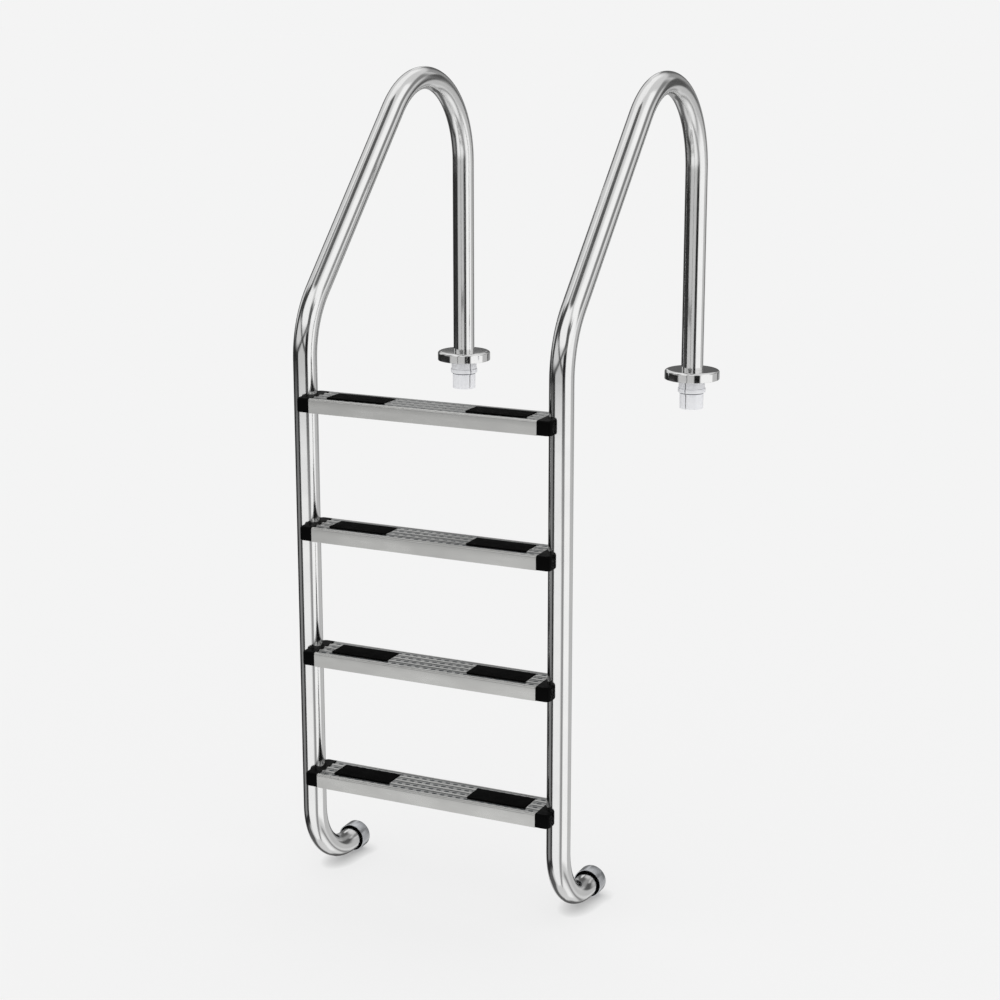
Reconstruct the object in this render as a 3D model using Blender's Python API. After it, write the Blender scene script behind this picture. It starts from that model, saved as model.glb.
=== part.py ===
"""Pool ladder: bent stainless rails, padded treads, deck covers, anchor sleeves and wall bumpers.

X runs across the ladder, -Y points to the pool and +Z points up. The origin lies at deck level,
midway between the two deck tubes. Sizes are in metres.
"""

import math

import bmesh
import bpy
from mathutils import Matrix, Vector

# Gap between pieces that touch, and radial play of a screw in its hole
FIT = 0.0003
SCREW_PLAY = 0.0005

# Rails, with bend radii to the tube's centreline
TUBE_DIA = 0.043
TUBE_WALL = 0.0015
RAIL_SPACING = 0.500
RAIL_REACH = 0.640  # deck tube to front tube
ARCH_CENTRE_HEIGHT = 0.405  # above the deck
ARCH_RADIUS = 0.173
SLANT_ANGLE = math.radians(44.0)  # sloping handrail, from the vertical
KNEE_RADIUS = 0.170
HOOK_RADIUS = 0.118
HOOK_DROP = 0.055  # lowest tread's underside to the hook's bend

# Treads, counted from the top
TREAD_COUNT = 4
TREAD_PITCH = 0.236
TREAD_BELOW_KNEE = 0.061  # knee's lower end to the first tread's top
TREAD_DEPTH = 0.080
TREAD_HEIGHT = 0.026
PLATE_WALL = 0.0015
PLATE_EDGE_RADIUS = 0.004
PLATE_END_GAP = 0.007  # plate's end to the tube's surface

# Anti-slip pads, pushed into windows in the plates
PAD_LENGTH = 0.116
PAD_DEPTH = 0.047
PAD_END_MARGIN = 0.0265  # plate's end to the pad
PAD_PROUD = 0.0012
PAD_OVERLAP = 0.003  # pad's rim over the window's edge
PAD_KEEPER = 0.0015  # lip under the window's edge, its width and thickness

# End caps
CAP_LIP_SHORT = 0.002  # lip's end to the tube's centre plane
CAP_NOSE_RADIUS = 0.008
TONGUE_LENGTH = 0.016
TONGUE_LIFT = 0.001  # tongue's underside above the skirt's edge

# Tread screws and their threaded inserts
SCREW_DIA = 0.008
SCREW_HEAD_FLATS = 0.013
SCREW_HEAD_HEIGHT = 0.0053
SCREW_TIP_SHORT = 0.003  # screw's tip inside the insert's end
WASHER_WIDTH = 0.0035
WASHER_THICKNESS = 0.0016
INSERT_LENGTH = 0.016
INSERT_WALL = 0.0012
INSERT_FLANGE_WIDTH = 0.002
INSERT_FLANGE_THICKNESS = 0.001
INSERT_BULGE_WIDTH = 0.0018
INSERT_BULGE_LENGTH = 0.004

# Deck covers
COVER_DIA = 0.108
COVER_HEIGHT = 0.0185
COVER_WALL = 0.0015
COVER_CROWN_WIDTH = 0.007  # flat top's edge to the cover's side
COVER_CROWN_DROP = 0.0045  # flat top to the side's upper edge

# Anchor sleeves
SLEEVE_DEPTH = 0.059  # below the deck
SLEEVE_LEDGE = 0.003  # thickness and width of the ledge that stops the tube
SLEEVE_UPPER_WALL = 0.0035
SLEEVE_LOWER_WALL = 0.0014
SLEEVE_TAPER = 0.0005
COLLAR_DEPTH = 0.0185  # deck to the collar's top
COLLAR_HEIGHT = 0.008
COLLAR_RAISE = 0.0016
SLOT_WIDTH = 0.0025
SLOT_ANGLE = {"left": math.radians(-33.0), "right": math.radians(-99.0)}

# Wall bumpers
BUMPER_STANDOFF = 0.0164  # hook's bend to the drum
DRUM_LENGTH = 0.026
DRUM_WALL = 0.0015
BUSH_WALL = 0.003
BUSH_END = 0.006  # between the tube's end and the drum's far rim
BUSH_LIP = 0.001  # beyond the drum's near rim
BUSH_FACE_PROUD = 0.002  # beyond the drum's far rim

# Facets
TUBE_SIDES = 20
COVER_SIDES = 36
DRUM_SIDES = 28
SCREW_SIDES = 12
BEND_STEP = math.radians(11.5)
FILLET_STEP = math.radians(30.0)
SMOOTH_LIMIT = math.radians(40.0)

# Places that follow from the sizes
TUBE_R = TUBE_DIA / 2
BORE_R = TUBE_R + FIT
RAIL_X = RAIL_SPACING / 2
SLEEVE_TOP = COVER_HEIGHT - COVER_WALL - FIT
TUBE_END_DEPTH = SLEEVE_DEPTH - SLEEVE_LEDGE - FIT
SLANT_RUN = (
    RAIL_REACH
    - ARCH_RADIUS * (1 + math.cos(SLANT_ANGLE))
    - KNEE_RADIUS * (1 - math.cos(SLANT_ANGLE))
) / math.sin(SLANT_ANGLE)
KNEE_END_Z = (
    ARCH_CENTRE_HEIGHT
    + (ARCH_RADIUS - KNEE_RADIUS) * math.sin(SLANT_ANGLE)
    - SLANT_RUN * math.cos(SLANT_ANGLE)
)
TREAD_TOPS = [KNEE_END_Z - TREAD_BELOW_KNEE - i * TREAD_PITCH for i in range(TREAD_COUNT)]
HOOK_TOP_Z = TREAD_TOPS[-1] - TREAD_HEIGHT - HOOK_DROP
BUMPER_Y = HOOK_RADIUS + BUMPER_STANDOFF - RAIL_REACH
BUMPER_Z = HOOK_TOP_Z - HOOK_RADIUS
HOOK_TAIL = BUMPER_STANDOFF + DRUM_LENGTH - BUSH_END - FIT
BUSH_R = BORE_R + BUSH_WALL
SCREW_R = SCREW_DIA / 2
INSERT_BORE_R = SCREW_R + FIT
INSERT_R = INSERT_BORE_R + INSERT_WALL
INSERT_FLANGE_R = INSERT_R + INSERT_FLANGE_WIDTH
INSERT_BULGE_R = INSERT_R + INSERT_BULGE_WIDTH

# Stations along a tread, from its middle towards a rail
TUBE_FACE = RAIL_X - TUBE_R
PLATE_END = TUBE_FACE - PLATE_END_GAP
TONGUE_FACE = PLATE_END - TONGUE_LENGTH
WASHER_SEAT = TONGUE_FACE - FIT
HEAD_SEAT = WASHER_SEAT - WASHER_THICKNESS - FIT
INSERT_START = TUBE_FACE - FIT - INSERT_FLANGE_THICKNESS
INSERT_TIP = INSERT_START + INSERT_LENGTH
PAD_X = PLATE_END - PAD_END_MARGIN - PAD_LENGTH / 2


def direction(angle):
    """Unit vector at an angle in a plane."""
    return Vector((math.cos(angle), math.sin(angle)))


def around(radius, sides):
    """Corner radius of a polygon that clears a circle of the given radius."""
    return radius / math.cos(math.pi / sides)


def arc(centre, radius, start, end, step):
    """Points on an arc, both ends included."""
    count = max(1, math.ceil(abs(end - start) / step))
    turns = [start + (end - start) * i / count for i in range(count + 1)]
    return [Vector(centre) + radius * direction(turn) for turn in turns]


def quarter_oval(centre, width, height):
    """Points on a quarter of an oval, from its side up to its top."""
    turns = arc((0.0, 0.0), 1.0, 0, math.pi / 2, FILLET_STEP)
    return [(centre[0] + width * turn.x, centre[1] + height * turn.y) for turn in turns]


def rectangle(length, depth):
    """Corners of a centred rectangle, counter-clockwise."""
    x, y = length / 2, depth / 2
    return [(-x, -y), (x, -y), (x, y), (-x, y)]


def bridge(bm, loop, other):
    """Joins two closed loops of equal count with faces."""
    count = len(loop)
    for i in range(count):
        j = (i + 1) % count
        bm.faces.new((loop[i], loop[j], other[j], other[i]))


def finish(bm, name):
    """Turns a bmesh into a mesh whose faces point outwards."""
    bmesh.ops.remove_doubles(bm, verts=bm.verts, dist=1e-6)
    bmesh.ops.recalc_face_normals(bm, faces=bm.faces)
    mesh = bpy.data.meshes.new(name)
    bm.to_mesh(mesh)
    bm.free()
    return mesh


def loft(name, loops):
    """Closed solid through loops of points, with both ends filled."""
    bm = bmesh.new()
    rings = [[bm.verts.new(point) for point in loop] for loop in loops]
    for ring, following in zip(rings, rings[1:]):
        bridge(bm, ring, following)
    bm.faces.new(rings[0])
    bm.faces.new(rings[-1])
    return finish(bm, name)


def prism(name, outline, low, high):
    """Solid from an X-Y outline between two heights."""
    return loft(name, [[(x, y, z) for x, y in outline] for z in (low, high)])


def turned(name, outline, sides, axis="Z", gap=None):
    """Solid turned from a closed (radius, height) outline; gap is an open (centre, width) sector."""
    bm = bmesh.new()
    start, sweep = 0.0, math.tau
    if gap:
        start, sweep = gap[0] + gap[1] / 2, math.tau - gap[1]
    columns = []
    for i in range(sides + 1 if gap else sides):
        turn = direction(start + sweep * i / sides)
        columns.append([bm.verts.new((r * turn.x, r * turn.y, z)) for r, z in outline])
    for column, following in zip(columns, columns[1:]):
        bridge(bm, column, following)
    if gap:
        bm.faces.new(columns[0])
        bm.faces.new(columns[-1])
    else:
        bridge(bm, columns[-1], columns[0])
    upright = {
        "X": Matrix.Rotation(math.pi / 2, 3, "Y"),
        "Y": Matrix.Rotation(-math.pi / 2, 3, "X"),
        "Z": Matrix.Identity(3),
    }
    bmesh.ops.transform(bm, matrix=upright[axis].to_4x4(), verts=bm.verts)
    return finish(bm, name)


def drill_mesh(outline):
    """Cutter turned about X, its corners clear of the plane where its neighbours have edges."""
    mesh = turned("drill", outline, SCREW_SIDES, "X")
    mesh.transform(Matrix.Rotation(math.pi / SCREW_SIDES, 4, "X"))
    return mesh


def combine(base, tool, operation):
    """Boolean of two meshes, as a new mesh in place of both."""
    workpiece = bpy.data.objects.new("workpiece", base)
    cutter = bpy.data.objects.new("cutter", tool)
    for item in (workpiece, cutter):
        bpy.context.collection.objects.link(item)
    modifier = workpiece.modifiers.new("combine", "BOOLEAN")
    modifier.operation = operation
    modifier.solver = "EXACT"
    modifier.object = cutter
    evaluated = workpiece.evaluated_get(bpy.context.evaluated_depsgraph_get())
    result = bpy.data.meshes.new_from_object(evaluated)
    for item in (workpiece, cutter):
        bpy.data.objects.remove(item)
    for mesh in (base, tool):
        bpy.data.meshes.remove(mesh)
    return result


def material(name, colour, metallic, roughness):
    """Principled material with an sRGB colour given as three 0-255 values."""
    finish_material = bpy.data.materials.new(name)
    finish_material.use_nodes = True
    shader = finish_material.node_tree.nodes["Principled BSDF"]
    linear = [((c / 255 + 0.055) / 1.055) ** 2.4 for c in colour]
    shader.inputs["Base Color"].default_value = (*linear, 1.0)
    shader.inputs["Metallic"].default_value = metallic
    shader.inputs["Roughness"].default_value = roughness
    return finish_material


def node(name, mesh, finish_material, parent=None, location=(0.0, 0.0, 0.0)):
    """Adds one named piece."""
    if not mesh.materials:
        mesh.materials.append(finish_material)
        mesh.shade_smooth()
        mesh.set_sharp_from_angle(angle=SMOOTH_LIMIT)
    piece = bpy.data.objects.new(name, mesh)
    piece.location = location
    piece.parent = parent
    bpy.context.collection.objects.link(piece)


def empty(name, location, parent=None, turn=0.0):
    """Adds a frame that carries pieces."""
    carrier = bpy.data.objects.new(name, None)
    carrier.location = location
    carrier.rotation_euler.z = turn
    carrier.parent = parent
    bpy.context.collection.objects.link(carrier)
    return carrier


def rail_stations():
    """Centreline points and headings in the Y-Z plane, from the deck end to the hook end."""
    point = Vector((0.0, -TUBE_END_DEPTH))
    heading = math.pi / 2
    stations = [(point, heading)]
    bends = (
        (TUBE_END_DEPTH + ARCH_CENTRE_HEIGHT, ARCH_RADIUS, math.pi - SLANT_ANGLE),
        (SLANT_RUN, KNEE_RADIUS, SLANT_ANGLE),
        (KNEE_END_Z - HOOK_TOP_Z, HOOK_RADIUS, math.pi / 2),
    )
    for run, radius, turn in bends:
        point = point + run * direction(heading)
        side = heading - math.pi / 2
        centre = point - radius * direction(side)
        curve = arc(centre, radius, side, side + turn, BEND_STEP)
        steps = len(curve) - 1
        stations += [(place, heading + turn * i / steps) for i, place in enumerate(curve)]
        point = curve[-1]
        heading += turn
    stations.append((point + HOOK_TAIL * direction(heading), heading))
    return stations


def rail_mesh(inner_side):
    """Bent tube with a hole for each tread's insert on its inner side (+1 or -1 along X)."""
    bm = bmesh.new()
    walls = []
    for radius in (TUBE_R, TUBE_R - TUBE_WALL):
        rings = []
        for point, heading in rail_stations():
            across = direction(heading + math.pi / 2)
            ring = []
            for i in range(TUBE_SIDES):
                spoke = radius * direction(math.tau * i / TUBE_SIDES)
                ring.append(bm.verts.new((spoke.x, *(point + spoke.y * across))))
            rings.append(ring)
        for ring, following in zip(rings, rings[1:]):
            bridge(bm, ring, following)
        walls.append(rings)
    for end in (0, -1):
        bridge(bm, walls[0][end], walls[1][end])
    mesh = finish(bm, "rail")
    hole_r = around(INSERT_R + FIT, SCREW_SIDES)
    for top in TREAD_TOPS:
        outline = [(0, 0), (hole_r, 0), (hole_r, TUBE_DIA), (0, TUBE_DIA)]
        drill = drill_mesh(outline)
        drill.transform(Matrix.Rotation(math.pi if inner_side < 0 else 0.0, 4, "Z"))
        drill.transform(Matrix.Translation((0.0, -RAIL_REACH, top - TREAD_HEIGHT / 2)))
        mesh = combine(mesh, drill, "DIFFERENCE")
    return mesh


def plate_mesh():
    """Pressed channel, open below, with a window for each pad."""
    half = TREAD_DEPTH / 2
    corner = half - PLATE_EDGE_RADIUS
    bend_z = -PLATE_EDGE_RADIUS
    outer = arc((corner, bend_z), PLATE_EDGE_RADIUS, 0, math.pi / 2, FILLET_STEP)
    inner = arc((corner, bend_z), PLATE_EDGE_RADIUS - PLATE_WALL, 0, math.pi / 2, FILLET_STEP)
    outside = [(half, -TREAD_HEIGHT), *outer]
    inside = [(half - PLATE_WALL, -TREAD_HEIGHT), *inner]
    section = outside + [(-y, z) for y, z in reversed(outside)]
    section += [(-y, z) for y, z in inside] + list(reversed(inside))
    mesh = loft("tread_plate", [[(x, y, z) for y, z in section] for x in (-PLATE_END, PLATE_END)])
    window = rectangle(PAD_LENGTH - 2 * PAD_OVERLAP, PAD_DEPTH - 2 * PAD_OVERLAP)
    for middle in (-PAD_X, PAD_X):
        outline = [(middle + x, y) for x, y in window]
        mesh = combine(mesh, prism("window", outline, -2 * PLATE_WALL, PLATE_WALL), "DIFFERENCE")
    return mesh


def pad_mesh():
    """Rubber pad: a flat top, a neck through the window and a lip under the plate."""
    shrink = 2 * (PAD_OVERLAP + FIT)
    grow = 2 * (PAD_KEEPER - PAD_OVERLAP)
    below = -PLATE_WALL - FIT
    levels = (
        (PAD_PROUD, 0.0),
        (FIT, 0.0),
        (FIT, -shrink),
        (below, -shrink),
        (below, grow),
        (below - PAD_KEEPER, grow),
    )
    return loft(
        "tread_pad",
        [[(x, y, z) for x, y in rectangle(PAD_LENGTH + d, PAD_DEPTH + d)] for z, d in levels],
    )


def cap_mesh():
    """End cap: a block with a half-round saddle, a tongue in the channel and a screw hole."""
    half = TREAD_DEPTH / 2
    start = PLATE_END + FIT
    lip = RAIL_X - CAP_LIP_SHORT
    step = math.tau / TUBE_SIDES
    saddle_r = around(BORE_R, TUBE_SIDES)
    mouth = math.acos(CAP_LIP_SHORT / saddle_r)
    nose = min(CAP_NOSE_RADIUS, half - saddle_r - FIT)
    saddle = arc((RAIL_X, 0.0), saddle_r, math.pi + mouth, math.pi - mouth, step)
    corner = arc((lip - nose, half - nose), nose, 0, math.pi / 2, FILLET_STEP)
    outline = [(x, -y) for x, y in reversed(corner)] + list(saddle) + list(corner)
    outline = [(start, -half), *outline, (start, half)]
    mesh = prism("tread_cap", outline, -TREAD_HEIGHT, 0.0)
    width = TREAD_DEPTH - 2 * (PLATE_WALL + FIT)
    length = TONGUE_LENGTH + PLATE_END_GAP / 2
    tongue = [(TONGUE_FACE + length / 2 + x, y) for x, y in rectangle(length, width)]
    top = -max(PLATE_WALL, PLATE_EDGE_RADIUS) - FIT
    mesh = combine(mesh, prism("tongue", tongue, TONGUE_LIFT - TREAD_HEIGHT, top), "UNION")
    hole_r = around(SCREW_R + SCREW_PLAY, SCREW_SIDES)
    recess_r = around(INSERT_FLANGE_R + FIT, SCREW_SIDES)
    low, step_x = TONGUE_FACE - TONGUE_LENGTH, INSERT_START - FIT
    bore = [(0, low), (hole_r, low), (hole_r, step_x)]
    recess = [(recess_r, step_x), (recess_r, RAIL_X), (0, RAIL_X)]
    drill = drill_mesh(bore + recess)
    drill.transform(Matrix.Translation((0.0, 0.0, -TREAD_HEIGHT / 2)))
    return combine(mesh, drill, "DIFFERENCE")


def screw_mesh():
    """Hexagon screw along X, its tip in the insert."""
    head_x = HEAD_SEAT - SCREW_HEAD_HEIGHT
    tip = INSERT_TIP - SCREW_TIP_SHORT
    flat = SCREW_HEAD_FLATS / 2
    turns = [math.tau * i / SCREW_SIDES for i in range(SCREW_SIDES)]
    hexagon = [flat if i % 2 else around(flat, 6) for i in range(SCREW_SIDES)]
    shank = [SCREW_R] * SCREW_SIDES
    loops = []
    for x, radii in ((head_x, hexagon), (HEAD_SEAT, hexagon), (HEAD_SEAT, shank), (tip, shank)):
        loops.append([(x, *(r * direction(turn))) for r, turn in zip(radii, turns)])
    return loft("tread_screw", loops)


def washer_mesh():
    """Plain washer on the tongue's face."""
    inner = around(SCREW_R + SCREW_PLAY, SCREW_SIDES)
    outer = inner + WASHER_WIDTH
    back, front = WASHER_SEAT - WASHER_THICKNESS, WASHER_SEAT
    outline = [(inner, back), (outer, back), (outer, front), (inner, front)]
    return turned("tread_washer", outline, SCREW_SIDES, "X")


def insert_mesh():
    """Rivet nut: a flange on the tube, a body through its wall and a bulge behind the wall."""
    bore = around(INSERT_BORE_R, SCREW_SIDES)
    flange_end = INSERT_START + INSERT_FLANGE_THICKNESS
    wall_flat = (TUBE_R - TUBE_WALL) * math.cos(math.pi / TUBE_SIDES)
    bulge = RAIL_X - math.sqrt(wall_flat**2 - INSERT_BULGE_R**2) + FIT
    bulge_end = bulge + INSERT_BULGE_LENGTH
    outline = [
        (bore, INSERT_START),
        (INSERT_FLANGE_R, INSERT_START),
        (INSERT_FLANGE_R, flange_end),
        (INSERT_R, flange_end),
        (INSERT_R, bulge),
        (INSERT_BULGE_R, bulge),
        (INSERT_R, bulge_end),
        (INSERT_R, INSERT_TIP),
        (bore, INSERT_TIP),
    ]
    return turned("rivet_nut", outline, SCREW_SIDES, "X")


def cover_mesh():
    """Hollow round cover plate with a crowned edge and a hole for the tube."""
    radius = COVER_DIA / 2
    hole = around(BORE_R, COVER_SIDES)
    bend = (radius - COVER_CROWN_WIDTH, COVER_HEIGHT - COVER_CROWN_DROP)
    outer = quarter_oval(bend, COVER_CROWN_WIDTH, COVER_CROWN_DROP)
    inner = quarter_oval(bend, COVER_CROWN_WIDTH - COVER_WALL, COVER_CROWN_DROP - COVER_WALL)
    outline = [(radius, 0.0), *outer, (hole, COVER_HEIGHT)]
    outline += [(hole, COVER_HEIGHT - COVER_WALL), *reversed(inner), (radius - COVER_WALL, 0.0)]
    return turned("escutcheon", outline, COVER_SIDES)


def sleeve_mesh(slot_angle):
    """Split plastic sleeve with a collar, a tapered end and a ledge under the tube."""
    bore = around(BORE_R, TUBE_SIDES)
    upper = bore + SLEEVE_UPPER_WALL
    collar = upper + COLLAR_RAISE
    lower = bore + SLEEVE_LOWER_WALL
    collar_end = -COLLAR_DEPTH - COLLAR_HEIGHT
    ledge = SLEEVE_LEDGE - SLEEVE_DEPTH
    outline = [
        (bore, SLEEVE_TOP),
        (bore, ledge),
        (bore - SLEEVE_LEDGE, ledge),
        (bore - SLEEVE_LEDGE, -SLEEVE_DEPTH),
        (lower - SLEEVE_TAPER, -SLEEVE_DEPTH),
        (lower, collar_end),
        (collar, collar_end),
        (collar, -COLLAR_DEPTH),
        (upper, -COLLAR_DEPTH),
        (upper, SLEEVE_TOP),
    ]
    slot = 2 * math.asin(SLOT_WIDTH / 2 / upper)
    return turned("anchor_sleeve", outline, COVER_SIDES, gap=(slot_angle, slot))


def drum_mesh():
    """Steel drum around the bumper's bush."""
    inner = around(BUSH_R + FIT, DRUM_SIDES)
    outer = inner + DRUM_WALL
    outline = [(inner, 0.0), (outer, 0.0), (outer, DRUM_LENGTH), (inner, DRUM_LENGTH)]
    return turned("bumper_drum", outline, DRUM_SIDES, "Y")


def bush_mesh():
    """Rubber cup over the tube's end, with a lip at the tube side and a face for the wall."""
    bore = around(BORE_R, DRUM_SIDES)
    floor = DRUM_LENGTH - BUSH_END
    face = DRUM_LENGTH + BUSH_FACE_PROUD
    cup = [(bore, -BUSH_LIP), (bore, floor), (0.0, floor)]
    outside = [(0.0, face), (BUSH_R, face), (BUSH_R, -BUSH_LIP)]
    return turned("bumper_bush", cup + outside, DRUM_SIDES, "Y")


def build_treads(steel, rubber, plastic, zinc):
    """Adds the treads with their pads, caps and fasteners."""
    plate, pad, cap = plate_mesh(), pad_mesh(), cap_mesh()
    fasteners = {"screw": screw_mesh(), "washer": washer_mesh(), "rivet_nut": insert_mesh()}
    for number, top in enumerate(TREAD_TOPS, start=1):
        tread = f"tread_{number}"
        carrier = empty(f"{tread}_frame", (0.0, -RAIL_REACH, top))
        node(f"{tread}_plate", plate, steel, carrier)
        for side, turn in (("right", 0.0), ("left", math.pi)):
            end = empty(f"{tread}_{side}_frame", (0.0, 0.0, 0.0), carrier, turn)
            node(f"{tread}_{side}_pad", pad, rubber, end, (PAD_X, 0.0, 0.0))
            node(f"{tread}_{side}_cap", cap, plastic, end)
            for kind, mesh in fasteners.items():
                node(f"{tread}_{side}_{kind}", mesh, zinc, end, (0.0, 0.0, -TREAD_HEIGHT / 2))


def build_side(side, x, chrome, steel, rubber, clear):
    """Adds one rail with its cover, sleeve and bumper."""
    deck = empty(f"{side}_deck_frame", (x, 0.0, 0.0))
    node(f"{side}_rail", rail_mesh(-1 if x > 0 else 1), chrome, deck)
    node(f"{side}_escutcheon", cover_mesh(), chrome, deck)
    node(f"{side}_anchor_sleeve", sleeve_mesh(SLOT_ANGLE[side]), clear, deck)
    foot = empty(f"{side}_bumper_frame", (0.0, BUMPER_Y, BUMPER_Z), deck)
    node(f"{side}_bumper_drum", drum_mesh(), steel, foot)
    node(f"{side}_bumper_bush", bush_mesh(), rubber, foot)


def main():
    """Clears the scene and builds the ladder."""
    for item in list(bpy.data.objects):
        bpy.data.objects.remove(item)
    chrome = material("polished_stainless", (214, 215, 217), 1.0, 0.08)
    steel = material("brushed_stainless", (190, 190, 187), 1.0, 0.35)
    rubber = material("black_rubber", (14, 14, 14), 0.0, 0.75)
    plastic = material("black_plastic", (10, 10, 10), 0.0, 0.5)
    clear = material("pale_plastic", (232, 235, 239), 0.0, 0.25)
    zinc = material("stainless_fastener", (170, 171, 172), 1.0, 0.3)
    build_treads(steel, rubber, plastic, zinc)
    for side, x in (("left", -RAIL_X), ("right", RAIL_X)):
        build_side(side, x, chrome, steel, rubber, clear)
    bpy.context.view_layer.update()


main()
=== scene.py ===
"""Looks of a pool ladder: polished rails, pressed treads, deck covers, sleeves and wall bumpers.

Everything is in metres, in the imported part's frame: X across the ladder, -Y towards the pool,
+Z up, and the origin at deck level midway between the two deck tubes.
"""

import logging
import math
from abc import ABC, abstractmethod
from dataclasses import dataclass
from enum import Enum
from typing import Iterable, Sequence

import bmesh
import bpy
from mathutils import Matrix, Vector


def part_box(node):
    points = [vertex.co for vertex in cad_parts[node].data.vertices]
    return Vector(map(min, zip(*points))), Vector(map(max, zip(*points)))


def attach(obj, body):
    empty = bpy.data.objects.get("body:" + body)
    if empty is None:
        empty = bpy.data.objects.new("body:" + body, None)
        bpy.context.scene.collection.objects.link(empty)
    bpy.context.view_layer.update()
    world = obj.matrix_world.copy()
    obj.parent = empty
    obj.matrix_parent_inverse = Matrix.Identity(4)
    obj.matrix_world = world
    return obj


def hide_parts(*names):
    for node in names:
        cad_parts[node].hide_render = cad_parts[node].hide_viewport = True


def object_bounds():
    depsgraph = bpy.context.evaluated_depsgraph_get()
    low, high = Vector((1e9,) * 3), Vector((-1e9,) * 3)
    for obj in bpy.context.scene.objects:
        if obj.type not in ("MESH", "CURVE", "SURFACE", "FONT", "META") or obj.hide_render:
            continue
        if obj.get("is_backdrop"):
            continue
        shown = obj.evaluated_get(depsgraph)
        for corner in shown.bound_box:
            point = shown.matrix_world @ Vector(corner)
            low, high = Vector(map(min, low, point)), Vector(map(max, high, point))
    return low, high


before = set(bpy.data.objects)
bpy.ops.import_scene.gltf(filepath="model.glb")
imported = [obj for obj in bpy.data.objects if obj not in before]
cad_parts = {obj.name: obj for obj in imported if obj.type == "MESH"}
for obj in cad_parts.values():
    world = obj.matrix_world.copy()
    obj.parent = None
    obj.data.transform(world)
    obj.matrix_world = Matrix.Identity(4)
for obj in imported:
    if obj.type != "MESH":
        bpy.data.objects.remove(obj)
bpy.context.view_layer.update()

LOG = logging.getLogger("pool_ladder")
LADDER = "ladder"
SMOOTH_LIMIT = math.radians(35.0)
WELD = 1e-6
MM = 0.001

Point = tuple[float, float]


class Side(Enum):
    """The two sides of the ladder, as seen from the pool."""

    LEFT = -1
    RIGHT = 1

    @property
    def label(self) -> str:
        """Word that the side's pieces start with."""
        return self.name.lower()


class Course(Enum):
    """The way that the lines of a metal finish run."""

    ALONG_TUBE = "along the tube"
    ROUND_AXIS = "round the deck tube"
    ALONG_X = "along the tread"
    ALONG_Y = "along the bumper"


class Slot(Enum):
    """The record's material slots."""

    POLISHED = "polished_stainless"
    BRUSHED = "brushed_stainless"
    RUBBER = "black_rubber"
    PLASTIC = "black_plastic"
    PALE = "pale_plastic"
    FASTENER = "stainless_fastener"


def linear(colour: str, alpha: float = 1.0) -> tuple[float, float, float, float]:
    """Turns an sRGB hex value into a linear colour.

    Args:
        colour: Hex value such as "#C0C0C0".
        alpha: Opacity.

    Returns:
        Red, green, blue and alpha.
    """
    parts = [int(colour[i : i + 2], 16) / 255 for i in (1, 3, 5)]
    lin = [p / 12.92 if p <= 0.04045 else ((p + 0.055) / 1.055) ** 2.4 for p in parts]
    return (lin[0], lin[1], lin[2], alpha)


def add_node(
    tree: bpy.types.NodeTree, kind: str, inputs: dict | None = None, **settings: object
) -> bpy.types.Node:
    """Adds one node with its settings, values and links.

    Args:
        tree: Tree that gets the node.
        kind: Blender's name of the node type.
        inputs: Value or output socket for each input, by name or number.
        settings: Properties of the node.

    Returns:
        The new node.
    """
    node = tree.nodes.new(kind)
    for key, value in settings.items():
        setattr(node, key, value)
    for key, value in (inputs or {}).items():
        if isinstance(value, bpy.types.NodeSocket):
            tree.links.new(value, node.inputs[key])
        else:
            node.inputs[key].default_value = value
    return node


def direction(degrees: float) -> Vector:
    """Unit vector at an angle in a plane."""
    return Vector((math.cos(math.radians(degrees)), math.sin(math.radians(degrees))))


def arc(centre: Sequence[float], radius: float, start: float, end: float, step: float) -> list:
    """Points on an arc.

    Args:
        centre: Middle of the arc.
        radius: Radius of the arc.
        start: First angle in degrees.
        end: Last angle in degrees.
        step: Largest angle between points in degrees.

    Returns:
        The points, both ends included.
    """
    count = max(1, math.ceil(abs(end - start) / step - 1e-9))
    turns = [start + (end - start) * i / count for i in range(count + 1)]
    return [Vector(centre) + radius * direction(turn) for turn in turns]


def smooth_step(value: float) -> float:
    """Eases a value from 0 to 1."""
    value = min(max(value, 0.0), 1.0)
    return value * value * (3.0 - 2.0 * value)


def rounded_rectangle(length: float, depth: float, radius: float, step: float = 15.0) -> list:
    """Outline of a centred rectangle with round corners.

    Args:
        length: Size along X.
        depth: Size along Y.
        radius: Corner radius.
        step: Largest angle between corner points in degrees.

    Returns:
        Points, counter-clockwise.
    """
    x, y = length / 2 - radius, depth / 2 - radius
    corners = ((x, y, 0.0), (-x, y, 90.0), (-x, -y, 180.0), (x, -y, 270.0))
    points = []
    for cx, cy, turn in corners:
        points += arc((cx, cy), radius, turn, turn + 90.0, step)
    return points


def rounded(outline: Sequence[Point], radius: float, step: float = 30.0) -> list:
    """Rounds the corners of a closed outline.

    Args:
        outline: Corner points.
        radius: Corner radius, made smaller where an edge is too short for it.
        step: Largest angle between the points of a corner in degrees.

    Returns:
        The new points.
    """
    points = []
    corners = [Vector(p) for p in outline]
    for i, corner in enumerate(corners):
        before, after = corners[i - 1] - corner, corners[(i + 1) % len(corners)] - corner
        room = 0.45 * min(before.length, after.length)
        angle = before.angle(after)
        if room < 1e-7 or angle > math.radians(165.0):
            points.append(corner)
            continue
        reach = min(radius / math.tan(angle / 2), room)
        start, end = corner + reach * before.normalized(), corner + reach * after.normalized()
        count = max(1, math.ceil((math.pi - angle) / math.radians(step)))
        for k in range(count + 1):
            t = k / count
            points.append((1 - t) ** 2 * start + 2 * t * (1 - t) * corner + t * t * end)
    return points


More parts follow.
